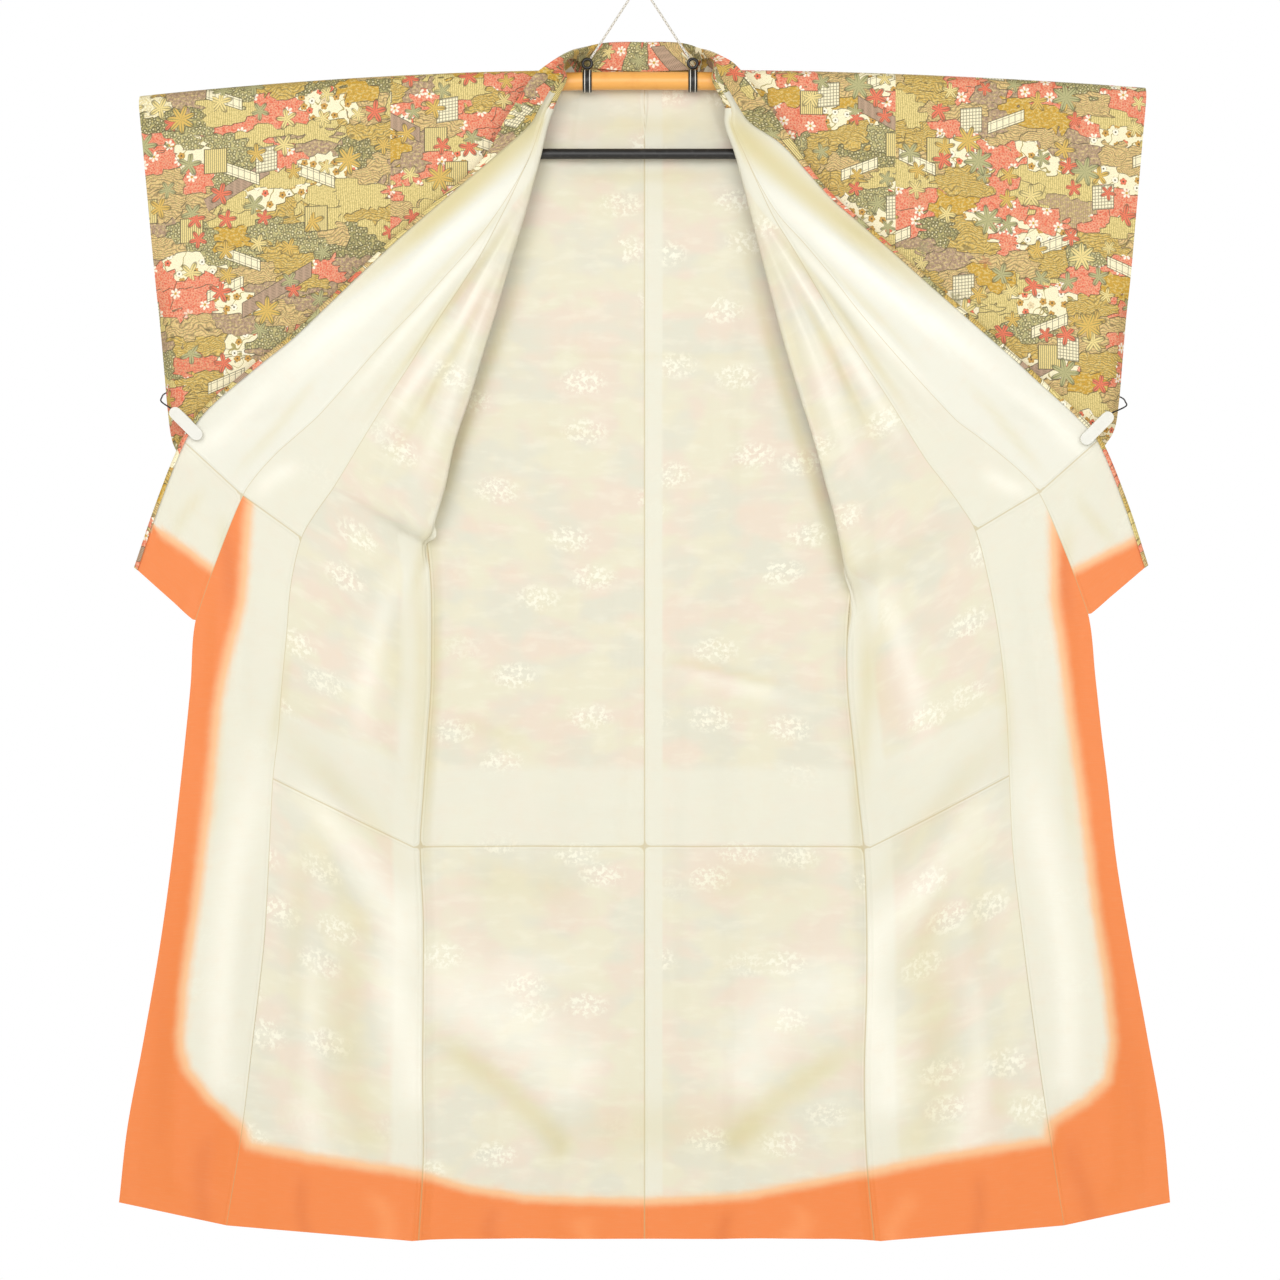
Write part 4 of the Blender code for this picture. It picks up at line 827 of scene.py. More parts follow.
def draw_blossom(p, colour, u, v, cream, salmon, bend):
    """Blossom and twigs on the cream patches, single white flowers on the red ones."""
    twig = (u * 0.9 + v * 0.5 + bend * 9.0).maths("SINE").maths("ABSOLUTE").below(0.09, 0.04)
    colour = p.mix(twig * cream * 0.9, colour, OLIVE)
    small = p.cells(u, v, 1.45, 1.2, 7.7, 0.7)
    petals, middle = flower(small, 0.5, 2.5, 0.3)
    some = small[3][1].above(0.3, 0.01) * cream
    tints = [(0.0, srgb(204, 156, 78)), (0.5, WHITE), (0.75, SALMON)]
    colour = p.mix(petals * some, colour, p.choose(small[3][0], tints))
    colour = p.mix(small[0].near(0.45, 0.05, 0.03) * petals * some * 0.8, colour, OLIVE)
    colour = p.mix(middle * some, colour, INK)
    large = p.cells(u, v, 3.4, 2.5, 9.2, 0.8)
    petals, middle = flower(large, 0.7, 3.0, 0.45)
    some = salmon * large[3][1].above(0.2, 0.01)
    colour = p.mix(petals * some * rays(large, 3.0, 0.9), colour, WHITE)
    return p.mix(middle * some, colour, MUSTARD)


def draw_panels(p, colour, u, v, spread, half, seed, tilt, face, drawing):
    """Panels scattered among the patches. drawing gives a panel's lines from its own coordinates."""
    _, dx, dy, random = p.cells(u, v, spread[0], spread[1], seed, 0.95)
    dy = dy + dx * (random[1] - 0.5).maths("SIGN") * tilt
    outside = (dx.maths("ABSOLUTE") - half[0]).maths("MAXIMUM", dy.maths("ABSOLUTE") - half[1])
    shown = random[0].above(0.4, 0.001)
    panel = p.mix(drawing(dx, dy) * 0.75, face, INK)
    colour = p.mix(outside.below(0.0, 0.02) * shown, colour, panel)
    return p.mix(outside.near(0.0, 0.05, 0.03) * shown * 0.9, colour, INK)


def draw_leaves(p, colour, u, v):
    """Small pointed leaves in three colours, and large pale ones with dark veins."""
    small = p.cells(u, v, 4.1, 3.2, 11.3, 0.95)
    here = small[3][0].above(0.45, 0.01)
    size = small[3][0] * 0.9 + 0.45
    sized = (small[0] / size, small[1], small[2], small[3])
    leaf, _ = flower(sized, 1.1, 2.5, 0.7, True)
    edge, _ = flower(sized, 1.25, 2.5, 0.66, True)
    colour = p.mix(edge * here * 0.8, colour, INK)
    tints = [(0.0, SAGE), (0.3, OCHRE), (0.5, STRAW), (0.68, SALMON)]
    colour = p.mix(leaf * here, colour, p.choose(small[3][1], tints))
    colour = p.mix(leaf * here * rays(small, 2.5, 0.2) * 0.6, colour, INK)
    large = p.cells(u, v, 14.0, 9.0, 17.9, 0.9)
    shown = large[3][0].above(0.3, 0.01)
    star, _ = flower(large, 2.0, 3.5, 0.6, True)
    core, _ = flower(large, 1.82, 3.5, 0.6, True)
    colour = p.mix(star * shown, colour, INK)
    colour = p.mix(core * shown, colour, p.choose(large[3][1], [(0.0, OCHRE), (0.4, STRAW), (0.7, SAGE)]))
    return p.mix(core * shown * rays(large, 3.5, 0.14), colour, LEAF)


def draw_ghost(p, u, v):
    """The print as it shows through the lining: wide soft patches and lacy clusters of pale flowers."""
    first = p.noise(p.join(u * 0.1, v * 0.15), 1.0, 2.0)
    second = p.noise(p.join(u * 0.12 + 9.0, v * 0.17), 1.0, 2.0)
    colour = p.mix(first.above(0.5, 0.1), srgb(208, 206, 190), srgb(225, 200, 184))
    colour = p.mix(second.above(0.53, 0.09), colour, srgb(221, 215, 186))
    _, dx, dy, random = p.cells(u, v, 11.0, 8.5, 21.7, 0.95)
    around = ((dx / 3.3).maths("POWER", 2.0) + (dy / 1.9).maths("POWER", 2.0)).below(0.7, 0.6)
    lace = p.noise(p.join(u, v), 1.4, 4.0, 0.65).above(0.52, 0.07)
    streaks = p.noise(p.join(u * 0.35, v * 0.9), 0.7, 3.0).above(0.6, 0.12) * 0.26
    pale = (around * lace * random[0].above(0.35, 0.1)).maths("MAXIMUM", streaks)
    return p.mix(pale, colour, srgb(252, 250, 234))


def lattice(dx, dy):
    return lines(dx, 0.42, 0.09).maths("MAXIMUM", lines(dy, 0.42, 0.09))


def fence(dx, dy):
    return lines(dx, 0.8, 0.09).maths("MAXIMUM", lines(dy, 0.9, 0.07))


def stripes(dx, _):
    return lines(dx, 0.26, 0.08)


def dashes(dx, dy):
    return lines(dy * 1.5 - dx * 0.5, 0.3, 0.1) * lines(dx, 0.9, 0.62)


# Panels among the patches: spread and half size in cm, seed, tilt, face, drawing
PANELS = [
    ((21.0, 15.0), (4.6, 1.0), 41.9, 0.55, TAUPE, dashes),
    ((15.0, 11.0), (2.4, 0.75), 23.7, 0.4, CREAM, fence),
    ((13.0, 10.5), (1.5, 1.6), 31.3, 0.0, STRAW, stripes),
    ((15.0, 12.0), (1.4, 1.6), 13.1, 0.12, CREAM, lattice),
]


def print_group():
    """The komon print: drifts of cloud patches, blossom, lattice panels and leaves, on cloth coordinates."""
    group = bpy.data.node_groups.new("komon_print", "ShaderNodeTree")
    for name, direction, kind in (("u", "INPUT", "Float"), ("v", "INPUT", "Float"),
                                  ("Color", "OUTPUT", "Color"), ("Soft", "OUTPUT", "Color")):
        group.interface.new_socket(name, in_out=direction, socket_type="NodeSocket" + kind)
    p = Pattern(group)
    source = group.nodes.new("NodeGroupInput")
    u, v = p.wire(source, 0), p.wire(source, 1)
    at = p.join(u, v)
    fine = p.noise(at, 4.0, 3.0)
    bend = p.noise(at, 0.3, 2.0)
    colour, cream, salmon = draw_patches(p, u, v, fine, bend)
    colour = draw_blossom(p, colour, u, v, cream, salmon, bend)
    for panel in PANELS:
        colour = draw_panels(p, colour, u, v, *panel)
    colour = draw_leaves(p, colour, u, v)
    colour = p.mix(p.noise(at, 9.0, 2.0).above(0.56, 0.06) * 0.26, colour, INK)
    p.connect(group.nodes.new("NodeGroupOutput"), Color=colour, Soft=draw_ghost(p, u, v))
    return group


def printed(p, u, v, output):
    """One output of the print at cloth coordinates."""
    node = p.node("Group", {"node_tree": PRINT}, u=u, v=v)
    return p.wire(node, output)


# Threads of the weave in radians per cm, and strands of the cord's braid in radians per cm and per turn
THREAD_WAVE = 60.0
BRAID_ALONG = 9.0
BRAID_AROUND = 12.566


def new_material(name, roughness, metallic=0.0, **sockets):
    made = bpy.data.materials.new(name)
    made.use_nodes = True
    p = Pattern(made.node_tree)
    shader = made.node_tree.nodes["Principled BSDF"]
    return made, p, p.connect(shader, Roughness=roughness, Metallic=metallic, **sockets)


def add_bump(p, shader, height, strength, distance):
    bump = p.node("Bump", Height=height, Strength=strength, Distance=distance)
    p.connect(shader, Normal=p.wire(bump))


def crepe(p, shader, u, v, grain, strength, ridge=0.0):
    """Woven threads and the fine pebbling of crepe, as bump."""
    threads = (u * THREAD_WAVE).maths("SINE") + (v * THREAD_WAVE).maths("SINE")
    height = p.noise(p.join(u, v), grain, 3.0) * 1.5 + threads * 0.12 + ridge
    add_bump(p, shader, height, strength, 0.0004)


def komon_material():
    made, p, shader = new_material("komon_silk_cloth", 0.62, Sheen_Weight=0.12, Sheen_Roughness=0.4,
                                   Specular_IOR_Level=0.35)
    u, v = p.uv()
    rough = p.noise(p.join(u, v), 3.0, 2.0) * 0.12 + 0.54
    p.connect(shader, Base_Color=printed(p, u, v, "Color"), Roughness=rough)
    crepe(p, shader, u, v, 9.0, 0.35)
    return made


def lining_material(name, base, shine, ghost_amount):
    """Silk lining with the print's ghost through it, painted shade and painted highlight standing in for the
    light on its folds, and the orange dye where the shade attribute says.
    """
    made, p, shader = new_material(name, shine, Sheen_Weight=0.08, Sheen_Roughness=0.35,
                                   Specular_IOR_Level=0.45)
    u, v = p.uv()
    at = p.join(u, v)
    # Painted shade above 0 and painted highlight below 0, read from the piece's attribute
    painted_shading = p.attribute("painted_shading")
    painted_shade_amount, painted_highlight_amount = painted_shading.maths("MAXIMUM", 0.0), (painted_shading * -1.0).maths("MAXIMUM", 0.0)

    # A colour moved towards its colour under painted shade and under painted highlight, by the painted amounts
    def with_painted_shading(colour, shade_colour, pale):
        return p.mix(painted_highlight_amount, p.mix(painted_shade_amount, colour, shade_colour), pale)

    ghosted = p.mix(p.attribute("ghost") * ghost_amount, base, printed(p, u, v, "Soft"))
    colour = with_painted_shading(ghosted, PAINTED_SHADE_COLOUR, PAINTED_HIGHLIGHT_COLOUR)
    shade = p.attribute("shade") + (p.noise(at, 0.5, 3.0) - 0.5) * 0.16
    colour = p.mix(shade.above(0.18, 0.2), colour, PEACH)
    colour = p.mix(shade.above(0.62, 0.3), colour, with_painted_shading(ORANGE, ORANGE_PAINTED_SHADE, ORANGE_PAINTED_HIGHLIGHT))
    slub = p.noise(p.join(u * 0.25, v * 3.0), 2.0, 3.0)
    colour = p.mix(slub.above(0.6, 0.2) * 0.05, colour, srgb(214, 200, 160))
    seam = p.attribute("seam")
    colour = p.mix(seam.below(0.09, 0.06) * 0.55, colour, SEAM_LINE)
    p.connect(shader, Base_Color=colour, Roughness=p.noise(at, 1.2, 3.0) * 0.16 + (shine - 0.08))
    crepe(p, shader, u, v, 14.0, 0.2, seam.near(0.32, 0.1, 0.14) * 7.0)
    return made


def plain_material(name, colour, roughness, speck, speck_colour, scale=120.0, bump=0.1, **sockets):
    """Moulded plastic, lacquer or thread: a base colour with fine specks and wear."""
    made, p, shader = new_material(name, roughness, **sockets)
    at = p.wire(p.node("TexCoord"), "Object")
    grain = p.noise(at, scale, 3.0)
    p.connect(shader, Base_Color=p.mix(grain.above(0.62, 0.1) * speck, colour, speck_colour),
              Roughness=p.noise(at, scale * 0.5, 2.0) * 0.2 + (roughness - 0.1))
    add_bump(p, shader, grain, bump, 0.0003)
    return made


def braid_material():
    """White cord: a braid drawn with two crossing sets of ridges on the tube's own coordinates, the grooves
    between the strands painted darker as shade.
    """
    made, p, shader = new_material("white_cord_braid", 0.8, Sheen_Weight=0.2, Sheen_Roughness=0.5)
    u, v = p.uv()
    along, around = v * BRAID_ALONG, u * BRAID_AROUND
    height = (along + around).maths("SINE").maths("MAXIMUM", (along - around).maths("SINE"))
    # Painted shade: the low parts between the strands take a darker grey
    strands_and_painted_groove_shade = p.mix(height.above(0.0, 0.6), srgb(176, 170, 160), srgb(236, 233, 226))
    p.connect(shader, Base_Color=strands_and_painted_groove_shade)
    add_bump(p, shader, height, 0.7, 0.0006)
    return made


PRINT = print_group()
MADE = {
    "komon_silk": komon_material(),
    "cream_lining": lining_material("cream_lining_silk", LINING, 0.5, 0.5),
    "collar_lining": lining_material("collar_lining_satin", SATIN_LINING, 0.34, 0.1),
    "shaded_lining": lining_material("shaded_lining_silk", LINING, 0.48, 0.46),
    "rod_tan": plain_material("rod_lacquer", srgb(243, 176, 88), 0.35, 0.3, srgb(226, 146, 62), 60.0,
                              Coat_Weight=0.3, Coat_Roughness=0.2),
    "black_plastic": plain_material("black_moulded_plastic", srgb(30, 29, 30), 0.35, 0.35, srgb(62, 60, 60)),
    "white_plastic": plain_material("white_moulded_plastic", srgb(222, 222, 216), 0.32, 0.25,
                                    srgb(206, 204, 196)),
    "white_cord": braid_material(),
    "black_elastic": plain_material("black_elastic_thread", srgb(26, 25, 26), 0.7, 0.5, srgb(70, 66, 66),
                                    400.0, 0.4),
    "white_paint": plain_material("white_stripe_paint", srgb(240, 238, 232), 0.4, 0.2, srgb(214, 210, 200)),
}


# Fine cloth: each shell is the solid's own grid, made smooth and given its creases

FINE_STEP = 0.85
# Middle and thickness of the visible layers, from the solids' shared surface
OUTER_LAYER = (0.06, 0.08)
LINING_LAYER = (-0.08, 0.06)
SHARP_DEGREES = 50.0
OVERLAP_POINT_DROP = 10.0
COLLAR_HALF_COLUMNS = 4
# Middle and half width of the bands beside the seams where turnings lie behind the lining
SIDE_TURNING = (2.0, 2.0)
OVERLAP_TURNING = (1.0, 1.6)
CENTRE_TURNING = (1.1, 1.1)
# The hidden turning above the two linings' seam: height of its middle and half its width, and by how
# much the ghost is fainter there
LINING_TURNING = (5.3, 5.7)
LINING_TURNING_FAINTER = 0.85
# How much of the ghost shows on the overlap panels, the collar and the sleeves' linings
OVERLAP_GHOST = 0.12
COLLAR_GHOST = 0.2
SLEEVE_GHOST = 0.5
# How softly the orange begins on the skirt, at the hem and on the collar's ends, in cm
SKIRT_SOFT, HEM_SOFT, COLLAR_SOFT = 1.9, 1.6, 1.5

# Creases seen from the front: x and drop of both ends, half width, height towards the viewer
BACK_CREASES = [
    (-16, 34.5, 3, 35.6, 0.35, -0.1), (1, 36, 17, 34.8, 0.4, -0.1),
    (-20, 46.2, -2, 47, 0.35, -0.09), (-12, 78.6, 2, 77.8, 0.4, -0.08),
    (4, 80.2, 21, 81, 0.4, -0.12), (-17.5, 96, 18, 97.2, 0.6, 0.1),
    (-9.5, 14, -12.5, 60, 1.2, 0.16), (10.5, 16, 12.5, 66, 1.3, 0.15),
    (-3, 52, -4, 120, 1.1, 0.12), (3.6, 58, 4.5, 124, 1.2, -0.12),
    (-19, 104, -20, 150, 1.4, -0.16), (18.6, 106, 20.5, 152, 1.4, -0.16),
    (-9, 112, -10.5, 153, 1.3, 0.14), (9.6, 110, 10.8, 153, 1.2, 0.13),
]
FRONT_CREASES = [
    (-14.6, 12, -30.5, 60, 1.1, 0.34), (-16.2, 15, -36.5, 57, 0.9, -0.3),
    (-17.6, 15, -42, 60, 1.3, 0.3), (-16.8, 24, -27.5, 56, 0.9, -0.24),
    (-20.5, 22, -46.5, 54, 0.8, 0.18), (-31, 50, -34.5, 72, 1.4, -0.3),
    (-30, 62, -45, 66.5, 1.1, 0.26), (-32, 67, -46, 76, 1.4, -0.24),
    (-40, 78, -30.5, 99, 2, 0.36), (-45.5, 84, -32.5, 121, 2.2, -0.34),
    (-47, 96, -37.5, 128, 1.4, 0.22), (-41, 104, -43.5, 140, 1.7, 0.24),
    (-31.5, 118, -33.5, 152, 1.4, -0.22), (-47.5, 110, -49, 150, 1.3, 0.18),
    (-53.5, 92, -56.5, 146, 1.5, -0.26), (-58.5, 88, -62, 146, 1.3, 0.26),
    (-55, 64, -58.5, 88, 1.1, 0.24), (-50.5, 58, -55, 94, 1.1, -0.2),
    (-60, 66, -62, 82, 0.9, 0.16), (-65, 120, -66.5, 147, 1, -0.16),
    (-24.5, 31, -30.5, 51, 0.5, 0.14), (-13.6, 11.5, -31, 38, 0.6, 0.22),
    (-14, 13.5, -27.5, 37, 0.5, -0.2), (-14.4, 14.5, -26, 44, 0.5, 0.2),
    (-28.4, 60.5, -31, 70, 0.6, -0.16), (13.6, 12.5, 29.5, 61, 1.1, 0.34),
    (15.2, 15.5, 35, 57.5, 0.9, -0.28), (16.4, 15, 40.5, 60, 1.3, 0.3),
    (16.5, 26, 26, 57, 0.9, -0.24), (19, 22.5, 44.5, 54, 0.8, 0.18),
    (29.5, 51, 33, 73, 1.4, -0.3), (28.5, 63, 43, 67, 1.1, 0.24),
    (30.5, 68.5, 44.5, 78, 1.4, -0.24), (42.5, 76, 30, 102, 2, 0.36),
    (45, 86, 32.5, 123, 2.2, -0.34), (46.5, 98, 37, 130, 1.4, 0.22),
    (40.5, 106, 42.5, 142, 1.7, 0.24), (32, 120, 33, 152, 1.4, -0.22),
    (47, 112, 48.5, 150, 1.3, 0.18), (52.5, 94, 56, 146, 1.5, -0.26),
    (58, 90, 61.5, 146, 1.3, 0.26), (54, 65, 57.5, 89, 1.1, 0.24),
    (50, 58.5, 54, 96, 1.1, -0.2), (60, 66.5, 61.5, 82, 0.9, 0.16),
    (65.2, 122, 66.6, 147, 1, -0.16), (23.5, 33, 29, 51, 0.5, 0.14),
    (12.6, 12, 30, 38, 0.6, 0.22), (13, 14, 26.5, 37, 0.5, -0.2),
    (13.4, 15, 25, 44, 0.5, 0.2), (27, 67, 30.5, 80, 0.6, -0.16),
    (-21, 13, -45, 37, 1.2, 0.26), (-23.5, 18, -49, 43, 0.9, -0.2),
    (-38, 31, -57.5, 48, 1, 0.18), (-46, 42, -60, 51, 1.1, -0.18),
    (-57, 54, -64.5, 63, 1, 0.2), (-59.5, 65, -63, 71, 0.9, -0.14),
    (20, 13.5, 43, 36.5, 1.2, 0.26), (22.5, 19, 47, 43, 0.9, -0.2),
    (37, 31.5, 56, 48, 1, 0.18), (45, 42.5, 58.5, 51, 1.1, -0.18),
    (56.5, 54.5, 63.5, 63.5, 1, 0.2), (59, 65.5, 62.5, 71.5, 0.9, -0.14),
]
SLEEVE_CREASES = [
    (-36, 3, -44, 38, 1, 0.12), (-41, 5, -50, 44, 1.1, -0.12),
    (-62, 4, -58.5, 30, 1, 0.12), (-57, 12, -50.5, 46, 1.2, 0.1),
    (-52, 2.5, -47, 22, 0.9, -0.1), (36, 3, 43.5, 38, 1, 0.12),
    (41, 5, 49.5, 42, 1.1, -0.12), (62, 4, 58, 30, 1, 0.12),
    (56.5, 12, 50, 44, 1.2, 0.1), (51.5, 2.5, 46.5, 22, 0.9, -0.1),
]

# Painted shade and painted highlight on the linings, standing in for the light on their folds and on the
# collar's turn: x and drop of both ends, half width, amount. Above 0 it is painted shade, deeper and yellower,
# below 0 painted highlight, paler
PAINTED_SHADING_LINES = [
    (0.3, -5, -44.7, 32.7, 2.1, 0.9), (-13.5, 10.5, -52, 43.5, 1.5, -0.7),
    (-14, 12.5, -38, 39.5, 0.9, 0.5), (-46, 144, -44.5, 153, 0.9, 0.4),
    (-57, 138, -59, 151, 1.2, 0.36), (-62.5, 112, -64.5, 140, 1.1, 0.12),
    (-36, 146.5, -34, 153.5, 1.3, -0.4), (-55, 57, -55.5, 72, 1, 0.4),
    (-14.5, 13, -40, 44, 0.9, -0.6), (-15.5, 15.5, -37.5, 46.5, 0.6, 0.42),
    (-16, 18, -36.5, 50, 0.9, -0.5), (-16.5, 20, -34, 52, 0.7, 0.36),
    (-17.5, 22.5, -31.5, 56, 1.1, -0.35), (-15.5, 15, -28, 58, 0.8, 0.4),
    (-25.5, 50, -31.5, 70, 0.7, 0.26), (-29.5, 60, -30.5, 98, 1.1, 0.34),
    (-31.5, 66, -33.5, 86, 1.8, 0.2), (-33.5, 62, -37.5, 90, 1.6, -0.34),
    (-49, 83, -30, 108, 1.8, 0.22), (-47.5, 92, -30.5, 114, 2.3, -0.42),
    (-45, 97, -34, 118, 1.4, 0.26), (-32, 105, -31.5, 134, 3.4, -0.42),
    (-47, 72, -49.5, 92, 0.8, 0.24), (-52, 84, -56, 132, 2.2, -0.34),
    (-55.5, 78, -58, 104, 1, 0.2), (-44.5, 96, -46.5, 134, 1.4, 0.2),
    (-39.5, 108, -37, 140, 2.8, 0.3), (-46, 112, -43, 142, 2, -0.26),
    (-48, 40, -61, 51, 1.2, -0.4), (-42, 38.5, -55, 53.5, 0.7, 0.26),
    (-45, 50.5, -52, 55.5, 1.2, -0.4), (-57.5, 53.5, -63, 62, 0.8, 0.24),
    (-1.1, -4.3, 43.2, 32.7, 2.1, 0.9), (12.5, 11, 50.5, 43.5, 1.5, -0.7),
    (13, 13, 37, 39.5, 0.9, 0.5), (45, 144, 43.5, 153, 0.9, 0.4),
    (56.5, 138, 58.5, 151, 1.2, 0.36), (62.5, 112, 64.5, 140, 1.1, 0.12),
    (35, 146.5, 33, 153.5, 1.3, -0.4), (55.5, 58, 56, 73, 1, 0.4),
    (13.5, 13.5, 39, 44, 0.9, -0.6), (14.5, 16, 36.5, 46.5, 0.6, 0.42),
    (15, 18.5, 35.5, 50, 0.9, -0.5), (15.5, 20.5, 33, 52, 0.7, 0.36),
    (16.5, 23, 30.5, 56, 1.1, -0.35), (13.8, 15, 25.5, 60, 0.8, 0.4),
    (24, 52, 29.5, 72, 0.7, 0.26), (28.5, 68, 29.5, 98, 1.1, 0.32),
    (30.5, 70, 32.5, 88, 1.8, 0.2), (32, 62, 36.5, 90, 1.6, -0.34),
    (48, 84, 29.5, 110, 1.8, 0.22), (47, 92.5, 30, 117, 2.3, -0.42),
    (44.5, 98, 33.5, 120, 1.4, 0.26), (31, 107, 30.5, 135, 3.4, -0.42),
    (46.5, 74, 48.5, 94, 0.8, 0.24), (51.5, 84, 55.5, 132, 2.2, -0.34),
    (55, 80, 57.5, 106, 1, 0.2), (44, 98, 46, 136, 1.4, 0.2),
    (39, 110, 36.5, 140, 2.8, 0.3), (45.5, 112, 42.5, 142, 2, -0.26),
    (47, 40.5, 60, 51, 1.2, -0.4), (41, 39, 54, 53.5, 0.7, 0.26),
    (44, 51, 51, 56, 1.2, -0.4), (56.5, 54, 62, 62.5, 0.8, 0.24),
]
# Painted shade and painted highlight on the back's linings, with the same columns
BACK_PAINTED_SHADING_LINES = [
    (-12, 5.5, 12, 5.7, 1.4, 0.3), (-13, 12.4, 13, 12.4, 1, 0.34),
    (-13.5, 15.5, 13, 15.5, 2, 0.14), (-14.5, 18, -30, 66, 0.9, 0.44),
    (12.5, 18, 28, 72, 0.9, 0.44), (-28.2, 58, -29, 108, 0.9, 0.46),
    (27.4, 64, 28.6, 110, 0.9, 0.42), (-31, 113, -11, 133, 5, -0.4),
    (-30, 124, -11, 141.5, 1.8, 0.46), (30, 115, 12, 132, 4.6, -0.36),
    (29.5, 126, 12, 141, 1.8, 0.42), (-15, 139.5, 15, 139, 3.6, 0.26),
    (-21, 149.5, -20, 154, 1.2, 0.4), (-7, 150.5, -8, 154.5, 1.6, -0.36),
    (10, 150, 11, 154.5, 1.2, 0.4), (21, 149, 20, 154, 1.6, -0.36),
    (-26, 105, -6, 108, 2.6, 0.24), (5, 107, 25, 105, 2.6, 0.2),
    (-24, 119, -5, 117, 2.2, -0.22), (-26, 84.5, -15, 88, 1.4, 0.24),
    (2, 76.5, 20, 80.5, 0.6, 0.34), (3, 78.5, 22, 82.5, 1.1, -0.3),
    (-18, 46.3, -3, 46.8, 0.5, 0.16), (-17, 36.8, 16, 36.4, 0.5, 0.14),
]

# Creases of the outer cloth that hangs beside the sleeves
HANGING_CREASES = [
    (-15.5, 4, -27, 24, 1.1, 0.14), (-20.5, 3, -30, 30, 1.3, -0.14),
    (-27, 3, -31.5, 44, 1.2, 0.14), (14.5, 4, 25.5, 24, 1.1, 0.14),
    (19.5, 3, 29.5, 30, 1.3, -0.14), (26.5, 3, 31, 44, 1.2, 0.14),
]

# The orange's inner edge on the skirt linings, seen from the front. x, drop
LEFT_ORANGE = [(-52.2, 55), (-52.6, 58.5), (-53.4, 69), (-55.5, 77), (-56.7, 83), (-57.7, 94),
               (-59.4, 108), (-61, 119), (-61.6, 127.5), (-60.8, 130.8), (-57.5, 135.2), (-53.5, 138.6),
               (-52.4, 141.2), (-43.6, 143), (-30.3, 145.2), (-24, 147.3), (-15.7, 148.8), (-8.5, 149.3),
               (0, 149.1)]
RIGHT_ORANGE = [(54.2, 55), (54.3, 69), (55.2, 74.5), (56.3, 83), (58.3, 97), (59.6, 108),
                (61.3, 119), (62.1, 127.5), (61.3, 132.5), (58.5, 135.3), (54, 138), (53.3, 140.5),
                (39.1, 143), (29.6, 145.2), (14, 148), (0, 148)]
ORANGE_LINES = {"left": LEFT_ORANGE, "right": RIGHT_ORANGE[::-1]}
HEM_ORANGE = [(-43.6, 143), (-30.3, 145.2), (-24, 147.3), (-15.7, 148.8), (0, 149.2), (14, 148.4),
              (29.6, 145.2), (39.1, 143)]
COLLAR_ORANGE = {"left": [(-63.8, 60.3), (-60.7, 62.4), (-57.2, 65), (-50, 69)],
                 "right": [(56.1, 65.6), (59.4, 63.9), (64.7, 61.3), (70, 58.6)]}
COLLAR_ORANGE_FROM = 50.0


def filled(points):
    """The grid as an array, with the neck's hole filled past its edge so that the edge keeps its curve."""
    rows = []
    for row in points:
        known = [p for p in row if p is not None]
        step = known[-1] - known[-2]
        row = known + [known[-1] + step * (k + 1) for k in range(len(row) - len(known))]
        rows.append([tuple(p) for p in row])
    return np.array(rows)


def interval_lengths(data):
    """Lengths of the intervals along the first axis, from the first three values of each point."""
    return np.maximum(np.linalg.norm(np.diff(data[..., :3], axis=0), axis=2), 1e-6)


def spans(data):
    """Number of fine steps in each interval along the first axis."""
    lengths = interval_lengths(data).max(axis=1) / CM
    return [max(1, int(math.ceil(length / FINE_STEP))) for length in lengths]


def curve_through(values, counts):
    """Values on smooth curves along the first axis, with the given number of steps in each interval."""
    out = []
    lengths = interval_lengths(values)
    last = len(values) - 1
    for i, count in enumerate(counts):
        d = lengths[i]
        before = lengths[i - 1] if i > 0 else 0.0 * d
        after = lengths[i + 1] if i < last - 1 else 0.0 * d
        m1 = (values[i + 1] - values[max(i - 1, 0)]) * (d / np.maximum(before + d, 1e-9))[..., None]
        m2 = (values[min(i + 2, last)] - values[i]) * (d / np.maximum(d + after, 1e-9))[..., None]
        out += [hermite(k / count, values[i], m1, values[i + 1], m2) for k in range(count)]
    out.append(values[-1])
    return np.array(out)


def fine_places(counts):
    """Where each fine point lies, in coarse intervals from the start."""
    return np.concatenate([i + np.arange(count) / count for i, count in enumerate(counts)] + [[len(counts)]])


def run_length(points):
    """Length along the first axis from its start, one value for each point."""
    steps = np.linalg.norm(np.diff(points, axis=0), axis=2)
    return np.concatenate([np.zeros((1, points.shape[1])), np.cumsum(steps, axis=0)])


